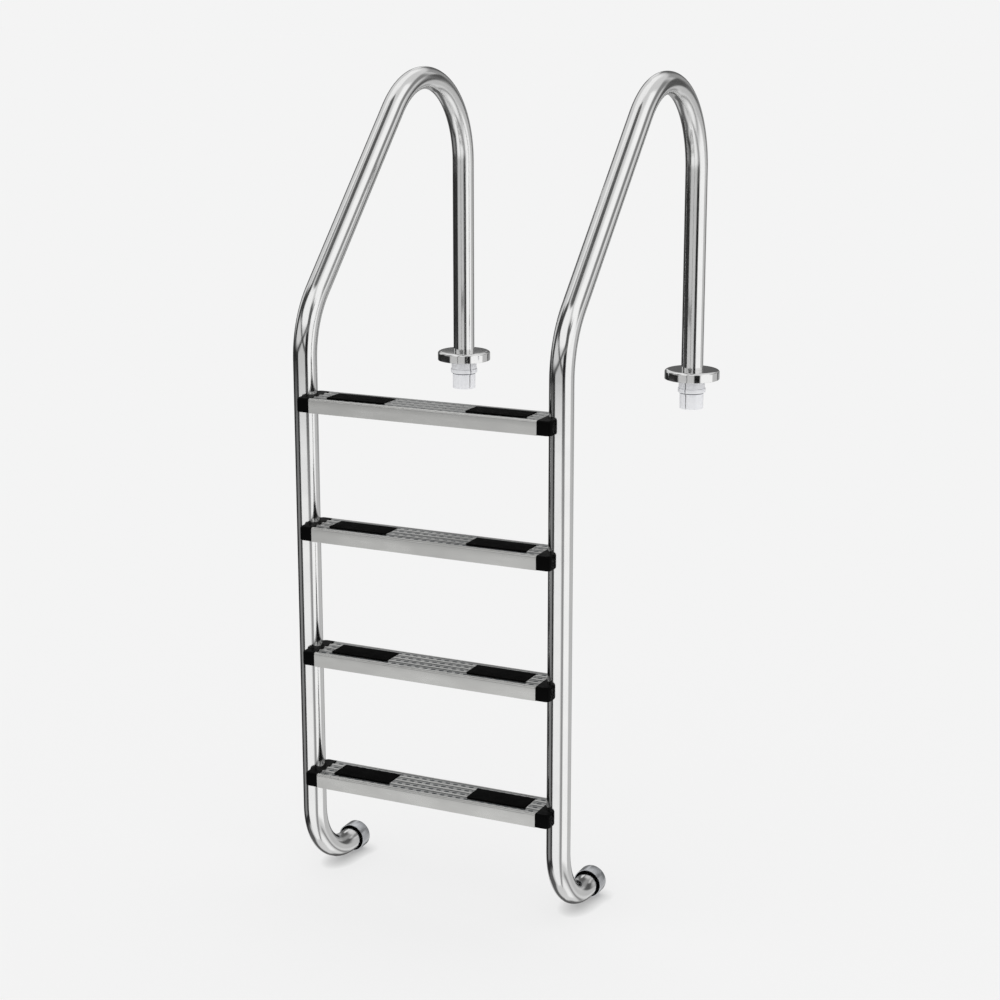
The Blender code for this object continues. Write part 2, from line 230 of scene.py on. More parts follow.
def mesh_of(bm: bmesh.types.BMesh, name: str, outwards: bool = True) -> bpy.types.Mesh:
    """Turns a bmesh into a smooth mesh.

    Args:
        bm: Shape, which is freed.
        name: Name of the mesh.
        outwards: Whether doubles are merged and the faces turned outwards.

    Returns:
        The mesh.
    """
    if outwards:
        bmesh.ops.remove_doubles(bm, verts=bm.verts, dist=WELD)
        bmesh.ops.recalc_face_normals(bm, faces=bm.faces)
    mesh = bpy.data.meshes.new(name)
    bm.to_mesh(mesh)
    bm.free()
    mesh.shade_smooth()
    mesh.set_sharp_from_angle(angle=SMOOTH_LIMIT)
    return mesh


def bridge(bm: bmesh.types.BMesh, loop: Sequence, other: Sequence) -> None:
    """Joins two closed loops of equal count with faces."""
    count = len(loop)
    for i in range(count):
        j = (i + 1) % count
        bm.faces.new((loop[i], loop[j], other[j], other[i]))


def loft(name: str, loops: Sequence[Sequence[Sequence[float]]]) -> bpy.types.Mesh:
    """Closed solid through loops of equal count, with both ends filled.

    Args:
        name: Name of the mesh.
        loops: Loops of points, in order.

    Returns:
        The mesh.
    """
    bm = bmesh.new()
    rings = [[bm.verts.new(point) for point in loop] for loop in loops]
    for ring, following in zip(rings, rings[1:]):
        bridge(bm, ring, following)
    bm.faces.new(rings[0])
    bm.faces.new(rings[-1])
    return mesh_of(bm, name)


def turned(
    name: str, outline: Sequence[Point], sides: int, gap: Point | None = None
) -> bpy.types.Mesh:
    """Solid turned about Z.

    Args:
        name: Name of the mesh.
        outline: Closed outline of (radius, height) points.
        sides: Number of facets.
        gap: Middle and width in degrees of a sector that stays open.

    Returns:
        The mesh.
    """
    bm = bmesh.new()
    start, sweep = (gap[0] + gap[1] / 2, 360.0 - gap[1]) if gap else (0.0, 360.0)
    columns = []
    for i in range(sides + 1 if gap else sides):
        turn = direction(start + sweep * i / sides)
        columns.append([bm.verts.new((r * turn.x, r * turn.y, z)) for r, z in outline])
    for column, following in zip(columns, columns[1:]):
        bridge(bm, column, following)
    if gap:
        bm.faces.new(columns[0])
        bm.faces.new(columns[-1])
    else:
        bridge(bm, columns[-1], columns[0])
    return mesh_of(bm, name)


def evaluated(mesh: bpy.types.Mesh, setup: Iterable[tuple[str, dict]]) -> bpy.types.Mesh:
    """Runs modifiers on a mesh.

    Args:
        mesh: Mesh to start from, which is removed.
        setup: Type and settings of each modifier. Under "node_inputs" a Geometry Nodes
            modifier's settings hold its values by the inputs' names.

    Returns:
        The finished plain mesh.
    """
    carrier = bpy.data.objects.new("workpiece", mesh)
    bpy.context.scene.collection.objects.link(carrier)
    for kind, settings in setup:
        modifier = carrier.modifiers.new(kind.lower(), kind)
        values = settings.get("node_inputs", {})
        for key, value in settings.items():
            if key != "node_inputs":
                setattr(modifier, key, value)
        if values:
            for item in modifier.node_group.interface.items_tree:
                if item.in_out == "INPUT" and item.name in values:
                    modifier[item.identifier] = values[item.name]
    carrier.update_tag()
    graph = bpy.context.evaluated_depsgraph_get()
    result = bpy.data.meshes.new_from_object(carrier.evaluated_get(graph))
    bpy.data.objects.remove(carrier)
    bpy.data.meshes.remove(mesh)
    return result


def union(base: bpy.types.Mesh, other: bpy.types.Mesh) -> bpy.types.Mesh:
    """Joins two closed meshes into one closed mesh."""
    tool = bpy.data.objects.new("tool", other)
    bpy.context.scene.collection.objects.link(tool)
    settings = {"operation": "UNION", "solver": "EXACT", "object": tool}
    result = evaluated(base, [("BOOLEAN", settings)])
    bpy.data.objects.remove(tool)
    bpy.data.meshes.remove(other)
    return result


def geometry_tree(name: str, sockets: dict[str, str]) -> tuple[bpy.types.NodeTree, bpy.types.Node]:
    """Starts a Geometry Nodes tree with named inputs.

    Args:
        name: Name of the tree.
        sockets: Socket type of each input, by name.

    Returns:
        The tree and its input node.
    """
    tree = bpy.data.node_groups.new(name, "GeometryNodeTree")
    tree.is_modifier = True
    for label, kind in sockets.items():
        tree.interface.new_socket(label, in_out="INPUT", socket_type=kind)
    tree.interface.new_socket("Geometry", in_out="OUTPUT", socket_type="NodeSocketGeometry")
    return tree, add_node(tree, "NodeGroupInput")


def close_tree(
    tree: bpy.types.NodeTree, geometry: bpy.types.NodeSocket, material: bpy.types.NodeSocket
) -> None:
    """Ends a Geometry Nodes tree with plain geometry and its material.

    Args:
        tree: Tree to end.
        geometry: What the tree has made.
        material: Material input.
    """
    real = add_node(tree, "GeometryNodeRealizeInstances", {"Geometry": geometry})
    painted = add_node(
        tree, "GeometryNodeSetMaterial", {"Geometry": real.outputs[0], "Material": material}
    )
    add_node(tree, "NodeGroupOutput", {"Geometry": painted.outputs[0]})


def tube_tree() -> bpy.types.NodeTree:
    """Sweeps a tube's outer and inner walls along a path, and stores each point's place on it.

    Returns:
        The tree. Its stored place is the length along the tube, and the place round its axis.
    """
    tree, given = geometry_tree(
        "tube_sweep",
        {
            "Path": "NodeSocketGeometry",
            "Tube radius": "NodeSocketFloat",
            "Tube wall": "NodeSocketFloat",
            "Sides": "NodeSocketInt",
            "Finish": "NodeSocketMaterial",
        },
    )
    inputs = given.outputs
    path = add_node(tree, "GeometryNodeMeshToCurve", {"Mesh": inputs["Path"]})
    along = add_node(tree, "GeometryNodeSplineParameter")
    kept = add_node(tree, "GeometryNodeCaptureAttribute", domain="POINT")
    kept.capture_items.new("FLOAT", "Length")
    tree.links.new(path.outputs[0], kept.inputs["Geometry"])
    tree.links.new(along.outputs["Length"], kept.inputs["Length"])
    bore = add_node(
        tree,
        "ShaderNodeMath",
        {0: inputs["Tube radius"], 1: inputs["Tube wall"]},
        operation="SUBTRACT",
    )
    joined = add_node(tree, "GeometryNodeJoinGeometry")
    for radius, inside in ((inputs["Tube radius"], False), (bore.outputs[0], True)):
        circle = add_node(
            tree,
            "GeometryNodeCurvePrimitiveCircle",
            {"Resolution": inputs["Sides"], "Radius": radius},
        )
        ring = add_node(tree, "GeometryNodeCaptureAttribute", domain="POINT")
        ring.capture_items.new("VECTOR", "Round")
        spot = add_node(tree, "GeometryNodeInputPosition")
        tree.links.new(circle.outputs[0], ring.inputs["Geometry"])
        tree.links.new(spot.outputs[0], ring.inputs["Round"])
        swept = add_node(
            tree,
            "GeometryNodeCurveToMesh",
            {"Curve": kept.outputs["Geometry"], "Profile Curve": ring.outputs["Geometry"]},
        )
        parts = add_node(tree, "ShaderNodeSeparateXYZ", {0: ring.outputs["Round"]})
        place = add_node(
            tree,
            "ShaderNodeCombineXYZ",
            {0: kept.outputs["Length"], 1: parts.outputs["X"], 2: parts.outputs["Y"]},
        )
        stored = add_node(
            tree,
            "GeometryNodeStoreNamedAttribute",
            {"Geometry": swept.outputs[0], "Name": TUBE_PLACE, "Value": place.outputs[0]},
            data_type="FLOAT_VECTOR",
            domain="POINT",
        )
        wall = stored.outputs[0]
        if inside:
            wall = add_node(tree, "GeometryNodeFlipFaces", {"Mesh": wall}).outputs[0]
        tree.links.new(wall, joined.inputs[0])
    close_tree(tree, joined.outputs[0], inputs["Finish"])
    return tree


def dash_tree() -> bpy.types.NodeTree:
    """Sets rows of pressed dashes on a tread's top, with room left for the pads, and marks them
    dark with painted shade.

    Returns:
        The tree.
    """
    number, count = "NodeSocketFloat", "NodeSocketInt"
    tree, given = geometry_tree(
        "pressed_dashes",
        {
            "Plate": "NodeSocketGeometry",
            "Dash": "NodeSocketObject",
            "Columns": count,
            "Rows": count,
            "Column pitch": number,
            "Row pitch": number,
            "Pad near end": number,
            "Pad far end": number,
            "Pad half depth": number,
            "Groove depth": number,
            "Finish": "NodeSocketMaterial",
        },
    )
    inputs = given.outputs
    spans = []
    for total, pitch in (("Columns", "Column pitch"), ("Rows", "Row pitch")):
        gaps = add_node(tree, "ShaderNodeMath", {0: inputs[total], 1: 1.0}, operation="SUBTRACT")
        span = {0: gaps.outputs[0], 1: inputs[pitch]}
        spans.append(add_node(tree, "ShaderNodeMath", span, operation="MULTIPLY").outputs[0])
    grid = add_node(
        tree,
        "GeometryNodeMeshGrid",
        {
            "Size X": spans[0],
            "Size Y": spans[1],
            "Vertices X": inputs["Columns"],
            "Vertices Y": inputs["Rows"],
        },
    )
    points = add_node(tree, "GeometryNodeMeshToPoints", {"Mesh": grid.outputs[0]})
    spot = add_node(tree, "GeometryNodeInputPosition")
    place = add_node(tree, "ShaderNodeSeparateXYZ", {0: spot.outputs[0]})
    across, deep = (
        add_node(tree, "ShaderNodeMath", {0: place.outputs[axis]}, operation="ABSOLUTE").outputs[0]
        for axis in ("X", "Y")
    )
    under = None
    for low, high in (
        (inputs["Pad near end"], across),
        (across, inputs["Pad far end"]),
        (deep, inputs["Pad half depth"]),
    ):
        test = add_node(tree, "ShaderNodeMath", {0: low, 1: high}, operation="LESS_THAN")
        if under is None:
            under = test.outputs[0]
        else:
            both = {0: under, 1: test.outputs[0]}
            under = add_node(tree, "ShaderNodeMath", both, operation="MULTIPLY").outputs[0]
    free = add_node(
        tree,
        "GeometryNodeDeleteGeometry",
        {"Geometry": points.outputs[0], "Selection": under},
        domain="POINT",
    )
    dash = add_node(tree, "GeometryNodeObjectInfo", {"Object": inputs["Dash"]})
    # Painted shade: every dash is marked for the full darker colour.
    marked = add_node(
        tree,
        "GeometryNodeStoreNamedAttribute",
        {"Geometry": dash.outputs["Geometry"], "Name": PRESSED, "Value": 1.0},
        data_type="FLOAT",
        domain="POINT",
    )
    dashes = add_node(
        tree,
        "GeometryNodeInstanceOnPoints",
        {"Points": free.outputs[0], "Instance": marked.outputs[0]},
    )
    drop = add_node(
        tree, "ShaderNodeMath", {0: inputs["Groove depth"], 1: -1.0}, operation="MULTIPLY"
    )
    offset = add_node(tree, "ShaderNodeCombineXYZ", {2: drop.outputs[0]})
    sunk = add_node(
        tree,
        "GeometryNodeTranslateInstances",
        {"Instances": dashes.outputs[0], "Translation": offset.outputs[0]},
    )
    joined = add_node(tree, "GeometryNodeJoinGeometry")
    tree.links.new(inputs["Plate"], joined.inputs[0])
    tree.links.new(sunk.outputs[0], joined.inputs[0])
    close_tree(tree, joined.outputs[0], inputs["Finish"])
    return tree


TUBE_PLACE = "tube_place"
# Point attribute of painted shade: how far a point's colour is darkened to stand in for the shade
# in the tread's grooves and dashes and in the sleeve's groove.
PRESSED = "pressed"


@dataclass(frozen=True)
class Finish(ABC):
    """A surface with its material, made once and shared by its pieces."""

    @property
    @abstractmethod
    def name(self) -> str:
        """Common name of the material and how its surface was made."""

    @abstractmethod
    def paint(self, tree: bpy.types.NodeTree, shader: bpy.types.Node) -> None:
        """Sets the shader and adds the nodes that drive it.

        Args:
            tree: The material's tree.
            shader: Its Principled shader.
        """

    def material(self) -> bpy.types.Material:
        """Returns the finish's material, made on first use."""
        made = bpy.data.materials.get(self.name)
        if made is None:
            made = bpy.data.materials.new(self.name)
            made.use_nodes = True
            self.paint(made.node_tree, made.node_tree.nodes["Principled BSDF"])
        return made

    def pattern(
        self,
        tree: bpy.types.NodeTree,
        place: bpy.types.NodeSocket,
        size_mm: Sequence[float],
        detail: float = 2.0,
    ) -> bpy.types.NodeSocket:
        """Adds a soft random pattern.

        Args:
            tree: The material's tree.
            place: Coordinates in metres.
            size_mm: Size of a spot along each axis in millimetres.
            detail: Octaves of finer detail.

        Returns:
            The pattern's value, from 0 to 1.
        """
        scale = [1.0 / (size * MM) for size in size_mm]
        mapped = add_node(tree, "ShaderNodeMapping", {"Vector": place, "Scale": scale})
        noise = add_node(
            tree,
            "ShaderNodeTexNoise",
            {"Vector": mapped.outputs[0], "Scale": 1.0, "Detail": detail},
        )
        return noise.outputs["Fac"]

    def spread(
        self, tree: bpy.types.NodeTree, value: bpy.types.NodeSocket, low: float, high: float
    ) -> bpy.types.NodeSocket:
        """Spreads the middle of a pattern's range over two limits.

        Args:
            tree: The material's tree.
            value: Pattern.
            low: Result where the pattern is low.
            high: Result where the pattern is high.

        Returns:
            The new value.
        """
        limits = {"Value": value, 1: 0.3, 2: 0.7, 3: low, 4: high}
        return add_node(tree, "ShaderNodeMapRange", limits).outputs[0]

    def blend(
        self, tree: bpy.types.NodeTree, value: bpy.types.NodeSocket, first: str, second: str
    ) -> bpy.types.NodeSocket:
        """Blends two colours by a pattern.

        Args:
            tree: The material's tree.
            value: Pattern.
            first: Hex colour where the pattern is low.
            second: Hex colour where the pattern is high.

        Returns:
            The colour.
        """
        mix = add_node(tree, "ShaderNodeMix", {0: value}, data_type="RGBA")
        mix.inputs[6].default_value = linear(first)
        mix.inputs[7].default_value = linear(second)
        return mix.outputs[2]

    def relief(
        self, tree: bpy.types.NodeTree, value: bpy.types.NodeSocket, height_mm: float
    ) -> bpy.types.NodeSocket:
        """Turns a pattern into relief.

        Args:
            tree: The material's tree.
            value: Pattern.
            height_mm: Height of the relief in millimetres.

        Returns:
            The surface normal.
        """
        bump = add_node(tree, "ShaderNodeBump", {"Height": value, "Strength": 1.0})
        bump.inputs["Distance"].default_value = height_mm * MM
        return bump.outputs[0]


@dataclass(frozen=True)
class PolishedStainless(Finish):
    """Stainless steel, mirror polished.

    It mirrors the room in clean bands, with faint lines of the polishing belt and a soft haze.
    """

    course: Course
    colour: str = "#DEDEDD"
    colour_worn: str = "#D4D4D4"
    roughness: Point = (0.085, 0.15)
    haze_mm: float = 40.0
    line_mm: float = 0.9  # drawn coarser than a belt's lines, so that they show
    line_length_mm: float = 90.0
    line_height_mm: float = 0.003
    dull_end: Point = (0.050, 0.054)  # the end in the deck sleeve is left as drawn
    dull_roughness: float = 0.6
    arch_middle: float = 0.56  # the arch's deck side is buffed by hand, so it mirrors softer
    arch_half: float = 0.11
    arch_fade: float = 0.07
    arch_roughness: float = 0.2

    @property
    def name(self) -> str:
        """Common name of the material and how its surface was made."""
        return f"stainless steel mirror polished {self.course.value}"

    def paint(self, tree: bpy.types.NodeTree, shader: bpy.types.Node) -> None:
        """Sets the shader and adds the nodes that drive it."""
        place = add_node(tree, "ShaderNodeTexCoord").outputs["Object"]
        on_tube = self.course is Course.ALONG_TUBE
        if on_tube:
            lines_at = add_node(tree, "ShaderNodeAttribute", attribute_name=TUBE_PLACE)
            size = (self.line_length_mm, self.line_mm, self.line_mm)
            lines = self.pattern(tree, lines_at.outputs["Vector"], size)
        else:
            lines = self.pattern(tree, self.turned_place(tree, place), (self.line_mm,) * 3)
        haze = self.pattern(tree, place, (self.haze_mm,) * 3, 4.0)
        tint = self.blend(tree, haze, self.colour, self.colour_worn)
        both = add_node(tree, "ShaderNodeMix", {0: 0.35, 2: haze, 3: lines}, data_type="FLOAT")
        shade = self.spread(tree, both.outputs[0], *self.roughness)
        if on_tube:
            along = add_node(tree, "ShaderNodeSeparateXYZ", {0: lines_at.outputs["Vector"]})
            ends = {"Value": along.outputs["X"], 1: self.dull_end[0], 2: self.dull_end[1]}
            dull = add_node(tree, "ShaderNodeMapRange", {**ends, 3: self.dull_roughness, 4: 0.0})
            spot = {0: along.outputs["X"], 1: self.arch_middle}
            off = add_node(tree, "ShaderNodeMath", spot, operation="SUBTRACT")
            away = add_node(tree, "ShaderNodeMath", {0: off.outputs[0]}, operation="ABSOLUTE")
            fade = {"Value": away.outputs[0], 1: self.arch_half + self.arch_fade, 2: self.arch_half}
            soft = add_node(tree, "ShaderNodeMapRange", {**fade, 3: 0.0, 4: self.arch_roughness})
            for least in (dull, soft):
                either = {0: shade, 1: least.outputs[0]}
                shade = add_node(tree, "ShaderNodeMath", either, operation="MAXIMUM").outputs[0]
        tree.links.new(tint, shader.inputs["Base Color"])
        tree.links.new(shade, shader.inputs["Roughness"])
        tree.links.new(self.relief(tree, lines, self.line_height_mm), shader.inputs["Normal"])
        shader.inputs["Metallic"].default_value = 1.0

    def turned_place(
        self, tree: bpy.types.NodeTree, place: bpy.types.NodeSocket
    ) -> bpy.types.NodeSocket:
        """Distance from the nearer deck tube's axis, and height, as coordinates.

        Args:
            tree: The material's tree.
            place: Object coordinates.

        Returns:
            The coordinates.
        """
        parts = add_node(tree, "ShaderNodeSeparateXYZ", {0: place})
        either = add_node(tree, "ShaderNodeMath", {0: parts.outputs["X"]}, operation="ABSOLUTE")
        off = add_node(
            tree,
            "ShaderNodeMath",
            {0: either.outputs[0], 1: Handrail.spacing / 2},
            operation="SUBTRACT",
        )
        flat = add_node(
            tree, "ShaderNodeCombineXYZ", {0: off.outputs[0], 1: parts.outputs["Y"]}
        )
        radius = add_node(tree, "ShaderNodeVectorMath", {0: flat.outputs[0]}, operation="LENGTH")
        spot = {0: radius.outputs["Value"], 1: parts.outputs["Z"]}
        return add_node(tree, "ShaderNodeCombineXYZ", spot).outputs[0]


@dataclass(frozen=True)
class BrushedStainless(Finish):
    """Stainless steel sheet, belt brushed.

    Fine long lines give it a soft satin shine that is drawn out across them, with cloudy light
    and dark from the rolling. Grooves and dashes marked with painted shade are darkened.
    """

    course: Course
    colour: str = "#C4C4C2"
    colour_dark: str = "#B2B2B0"
    roughness: Point = (0.24, 0.36)
    line_mm: float = 0.5  # drawn coarser than the belt's grit, so that it shows
    line_length_mm: float = 45.0
    line_height_mm: float = 0.006
    cloud_mm: float = 30.0
    # Painted shade: the colour that grooves and dashes are darkened towards, in place of the shade
    # that falls in them.
    colour_pressed: str = "#4A4D50"

    @property
    def name(self) -> str:
        """Common name of the material and how its surface was made."""
        return f"stainless sheet belt brushed {self.course.value}"

    def paint(self, tree: bpy.types.NodeTree, shader: bpy.types.Node) -> None:
        """Sets the shader and adds the nodes that drive it."""
        place = add_node(tree, "ShaderNodeTexCoord").outputs["Object"]
        size = [self.line_mm] * 3
        size[0 if self.course is Course.ALONG_X else 1] = self.line_length_mm
        lines = self.pattern(tree, place, size, 3.0)
        clouds = self.pattern(tree, place, [2.2 * self.cloud_mm, self.cloud_mm, self.cloud_mm], 3.0)
        both = add_node(tree, "ShaderNodeMix", {0: 0.5, 2: clouds, 3: lines}, data_type="FLOAT")
        tint = self.blend(tree, both.outputs[0], self.colour, self.colour_dark)
        # Painted shade: grooves and dashes are darkened by their share of the painted shade
        # attribute.
        pressed = add_node(tree, "ShaderNodeAttribute", attribute_name=PRESSED)
        marked = add_node(
            tree, "ShaderNodeMix", {0: pressed.outputs["Fac"], 6: tint}, data_type="RGBA"
        )
        marked.inputs[7].default_value = linear(self.colour_pressed)
        shade = self.spread(tree, both.outputs[0], *self.roughness)
        tree.links.new(marked.outputs[2], shader.inputs["Base Color"])
        tree.links.new(shade, shader.inputs["Roughness"])
        tree.links.new(self.relief(tree, lines, self.line_height_mm), shader.inputs["Normal"])
        shader.inputs["Metallic"].default_value = 1.0


@dataclass(frozen=True)
class PlainStainless(Finish):
    """Stainless fasteners, cold formed and pickled: dull grey with fine spots."""

    colour: str = "#B4B5B6"
    colour_dark: str = "#9FA0A2"
    roughness: Point = (0.28, 0.42)
    spot_mm: float = 1.2

    @property
    def name(self) -> str:
        """Common name of the material and how its surface was made."""
        return "stainless steel cold formed and pickled"

    def paint(self, tree: bpy.types.NodeTree, shader: bpy.types.Node) -> None:
        """Sets the shader and adds the nodes that drive it."""
        place = add_node(tree, "ShaderNodeTexCoord").outputs["Object"]
        spots = self.pattern(tree, place, (self.spot_mm,) * 3, 3.0)
        tree.links.new(
            self.blend(tree, spots, self.colour, self.colour_dark), shader.inputs["Base Color"]
        )
        tree.links.new(self.spread(tree, spots, *self.roughness), shader.inputs["Roughness"])
        shader.inputs["Metallic"].default_value = 1.0


@dataclass(frozen=True)
class MouldedRubber(Finish):
    """Black rubber, compression moulded: deep matt black with a fine gripping grain."""

    colour: str = "#030303"
    colour_worn: str = "#080808"
    roughness: Point = (0.62, 0.82)
    grain_mm: float = 0.7
    grain_height_mm: float = 0.09
    cloud_mm: float = 14.0

    @property
    def name(self) -> str:
        """Common name of the material and how its surface was made."""
        return "black rubber compression moulded"

    def paint(self, tree: bpy.types.NodeTree, shader: bpy.types.Node) -> None:
        """Sets the shader and adds the nodes that drive it."""
        place = add_node(tree, "ShaderNodeTexCoord").outputs["Object"]
        grain = self.pattern(tree, place, (self.grain_mm,) * 3, 2.0)
        clouds = self.pattern(tree, place, (self.cloud_mm,) * 3, 3.0)
        tint = self.blend(tree, clouds, self.colour, self.colour_worn)
        tree.links.new(tint, shader.inputs["Base Color"])
        tree.links.new(self.spread(tree, clouds, *self.roughness), shader.inputs["Roughness"])
        tree.links.new(self.relief(tree, grain, self.grain_height_mm), shader.inputs["Normal"])
        shader.inputs["Specular IOR Level"].default_value = 0.02


@dataclass(frozen=True)
class MouldedNylon(Finish):
    """Black nylon, injection moulded in an eroded tool: even black with a fine matt grain."""

    colour: str = "#020202"
    colour_worn: str = "#050505"
    roughness: Point = (0.42, 0.55)
    grain_mm: float = 0.45
    grain_height_mm: float = 0.03
    cloud_mm: float = 9.0

    @property
    def name(self) -> str:
        """Common name of the material and how its surface was made."""
        return "black nylon injection moulded"

    def paint(self, tree: bpy.types.NodeTree, shader: bpy.types.Node) -> None:
        """Sets the shader and adds the nodes that drive it."""
        place = add_node(tree, "ShaderNodeTexCoord").outputs["Object"]
        grain = self.pattern(tree, place, (self.grain_mm,) * 3, 2.0)
        clouds = self.pattern(tree, place, (self.cloud_mm,) * 3, 3.0)
        tint = self.blend(tree, clouds, self.colour, self.colour_worn)
        tree.links.new(tint, shader.inputs["Base Color"])
        tree.links.new(self.spread(tree, clouds, *self.roughness), shader.inputs["Roughness"])
        tree.links.new(self.relief(tree, grain, self.grain_height_mm), shader.inputs["Normal"])
        shader.inputs["IOR"].default_value = 1.53
        shader.inputs["Specular IOR Level"].default_value = 0.03


@dataclass(frozen=True)
class NaturalPolyethylene(Finish):
    """Natural polyethylene, injection moulded: milky, lit through its wall, with a waxy shine."""

    colour: str = "#FAFAFC"
    colour_thick: str = "#F0F1F5"
    # Painted shade in the groove under the collar.
    colour_groove: str = "#6E6F74"
    roughness: Point = (0.22, 0.34)
    cloud_mm: float = 7.0
    let_through: float = 0.06

    @property
    def name(self) -> str:
        """Common name of the material and how its surface was made."""
        return "natural polyethylene injection moulded"

    def paint(self, tree: bpy.types.NodeTree, shader: bpy.types.Node) -> None:
        """Sets the shader and adds the nodes that drive it."""
        place = add_node(tree, "ShaderNodeTexCoord").outputs["Object"]
        clouds = self.pattern(tree, place, (self.cloud_mm,) * 3, 3.0)
        tint = self.blend(tree, clouds, self.colour, self.colour_thick)
        # Painted shade: the groove under the collar is darkened in place of the shade that falls in
        # it.
        groove = add_node(tree, "ShaderNodeAttribute", attribute_name=PRESSED)
        marked = add_node(
            tree, "ShaderNodeMix", {0: groove.outputs["Fac"], 6: tint}, data_type="RGBA"
        )
        marked.inputs[7].default_value = linear(self.colour_groove)
        tree.links.new(marked.outputs[2], shader.inputs["Base Color"])
        tree.links.new(self.spread(tree, clouds, *self.roughness), shader.inputs["Roughness"])
        shader.inputs["IOR"].default_value = 1.51
        through = add_node(tree, "ShaderNodeBsdfTranslucent", {"Color": marked.outputs[2]})
        sum_of = {0: self.let_through, 1: shader.outputs[0], 2: through.outputs[0]}
        both = add_node(tree, "ShaderNodeMixShader", sum_of)
        tree.links.new(both.outputs[0], tree.nodes["Material Output"].inputs["Surface"])


POLISHED_TUBE = PolishedStainless(Course.ALONG_TUBE)
POLISHED_COVER = PolishedStainless(Course.ROUND_AXIS, roughness=(0.06, 0.11))
BRUSHED_TREAD = BrushedStainless(Course.ALONG_X)
BRUSHED_DRUM = BrushedStainless(
    Course.ALONG_Y, colour="#D4D6D8", colour_dark="#9A9CA1", roughness=(0.2, 0.32), line_mm=1.4
)
RUBBER = MouldedRubber()
NYLON = MouldedNylon()
POLYETHYLENE = NaturalPolyethylene()
FASTENER_STEEL = PlainStainless()


def show(
    name: str, mesh: bpy.types.Mesh, finish: Finish, slot: Slot, body: str, *nodes: str
) -> bpy.types.Object:
    """Shows a finished piece in place of CAD nodes.

    Args:
        name: Name of the piece.
        mesh: Its mesh, in place.
        finish: Its finish.
        slot: The record's slot for that finish; not used.
        body: Body that it rides on.
        nodes: CAD nodes that it stands for.

    Returns:
        The piece.
    """
    mesh.materials.clear()
    mesh.materials.append(finish.material())
    piece = bpy.data.objects.new(name, mesh)
    bpy.context.scene.collection.objects.link(piece)
    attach(piece, body)
    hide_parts(*nodes)
    LOG.info("%s: %d faces on %s", name, len(mesh.polygons), body)
    return piece


class SubAssembly(ABC):
    """A group of pieces that is built and dressed together."""

    @abstractmethod
    def build(self) -> None:
        """Builds the pieces and shows them."""


@dataclass
class Handrail(SubAssembly):
    """One bent rail, from its end in the deck sleeve to the tail of its hook."""

    side: Side
    radius: float = 0.0215
    wall: float = 0.0015
    spacing: float = 0.500
    reach: float = 0.640
    deck_depth: float = 0.0557
    arch_height: float = 0.405
    arch_radius: float = 0.173
    slant: float = 44.0
    knee_radius: float = 0.170
    hook_radius: float = 0.118
    tail: float = 0.0361
    facets: int = 72
    bend_step: float = 2.0
    run_step: float = 0.03

    def build(self) -> None:
        """Builds the rail and shows it."""
        name = f"{self.side.label}_rail"
        hook_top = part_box(name)[0].z + self.radius + self.hook_radius
        path = self.path(hook_top)
        lines = bpy.data.meshes.new("rail_path")
        lines.from_pydata(path, [(i, i + 1) for i in range(len(path) - 1)], [])
        sizes = {
            "Tube radius": self.radius,
            "Tube wall": self.wall,
            "Sides": self.facets,
            "Finish": POLISHED_TUBE.material(),
        }
        sweep = {"node_group": RAIL_SWEEP, "node_inputs": sizes}
        mesh = self.closed_ends(evaluated(lines, [("NODES", sweep)]), path)
        show(f"{name}_polished", mesh, POLISHED_TUBE, Slot.POLISHED, LADDER, name)

    def path(self, hook_top: float) -> list[Vector]:
        """Follows the rail's centreline.

        Args:
            hook_top: Height where the front tube bends into the hook.

        Returns:
            Points from the deck end to the hook's tail.
        """
        x = self.side.value * self.spacing / 2
        lean = math.radians(self.slant)
        slope = (
            self.reach
            - self.arch_radius * (1 + math.cos(lean))
            - self.knee_radius * (1 - math.cos(lean))
        ) / math.sin(lean)
        knee_end = (
            self.arch_height
            + (self.arch_radius - self.knee_radius) * math.sin(lean)
            - slope * math.cos(lean)
        )
        spot, heading = Vector((0.0, -self.deck_depth)), 90.0
        flat = [spot]
        for run, radius, turn in (
            (self.deck_depth + self.arch_height, self.arch_radius, 180.0 - self.slant),
            (slope, self.knee_radius, self.slant),
            (knee_end - hook_top, self.hook_radius, 90.0),
            (self.tail, 0.0, 0.0),
        ):
            steps = math.ceil(run / self.run_step)
            flat += [spot + direction(heading) * run * i / steps for i in range(1, steps + 1)]
            side = heading - 90.0
            centre = flat[-1] - radius * direction(side)
            if turn:
                flat += arc(centre, radius, side, side + turn, self.bend_step)[1:]
            spot, heading = flat[-1], heading + turn
        return [Vector((x, point.x, point.y)) for point in flat]

    def closed_ends(self, mesh: bpy.types.Mesh, path: Sequence[Vector]) -> bpy.types.Mesh:
        """Closes the tube's wall at both ends.

        Args:
            mesh: Outer and inner walls, which is removed.
            path: Centreline.

        Returns:
            The closed tube.
        """
        bm = bmesh.new()
        bm.from_mesh(mesh)
        bpy.data.meshes.remove(mesh)
        for end in (path[0], path[-1]):
            rim = [
                edge
                for edge in bm.edges
                if edge.is_boundary and (edge.verts[0].co - end).length < 2 * self.radius
            ]
            bmesh.ops.bridge_loops(bm, edges=rim)
        return mesh_of(bm, "rail")


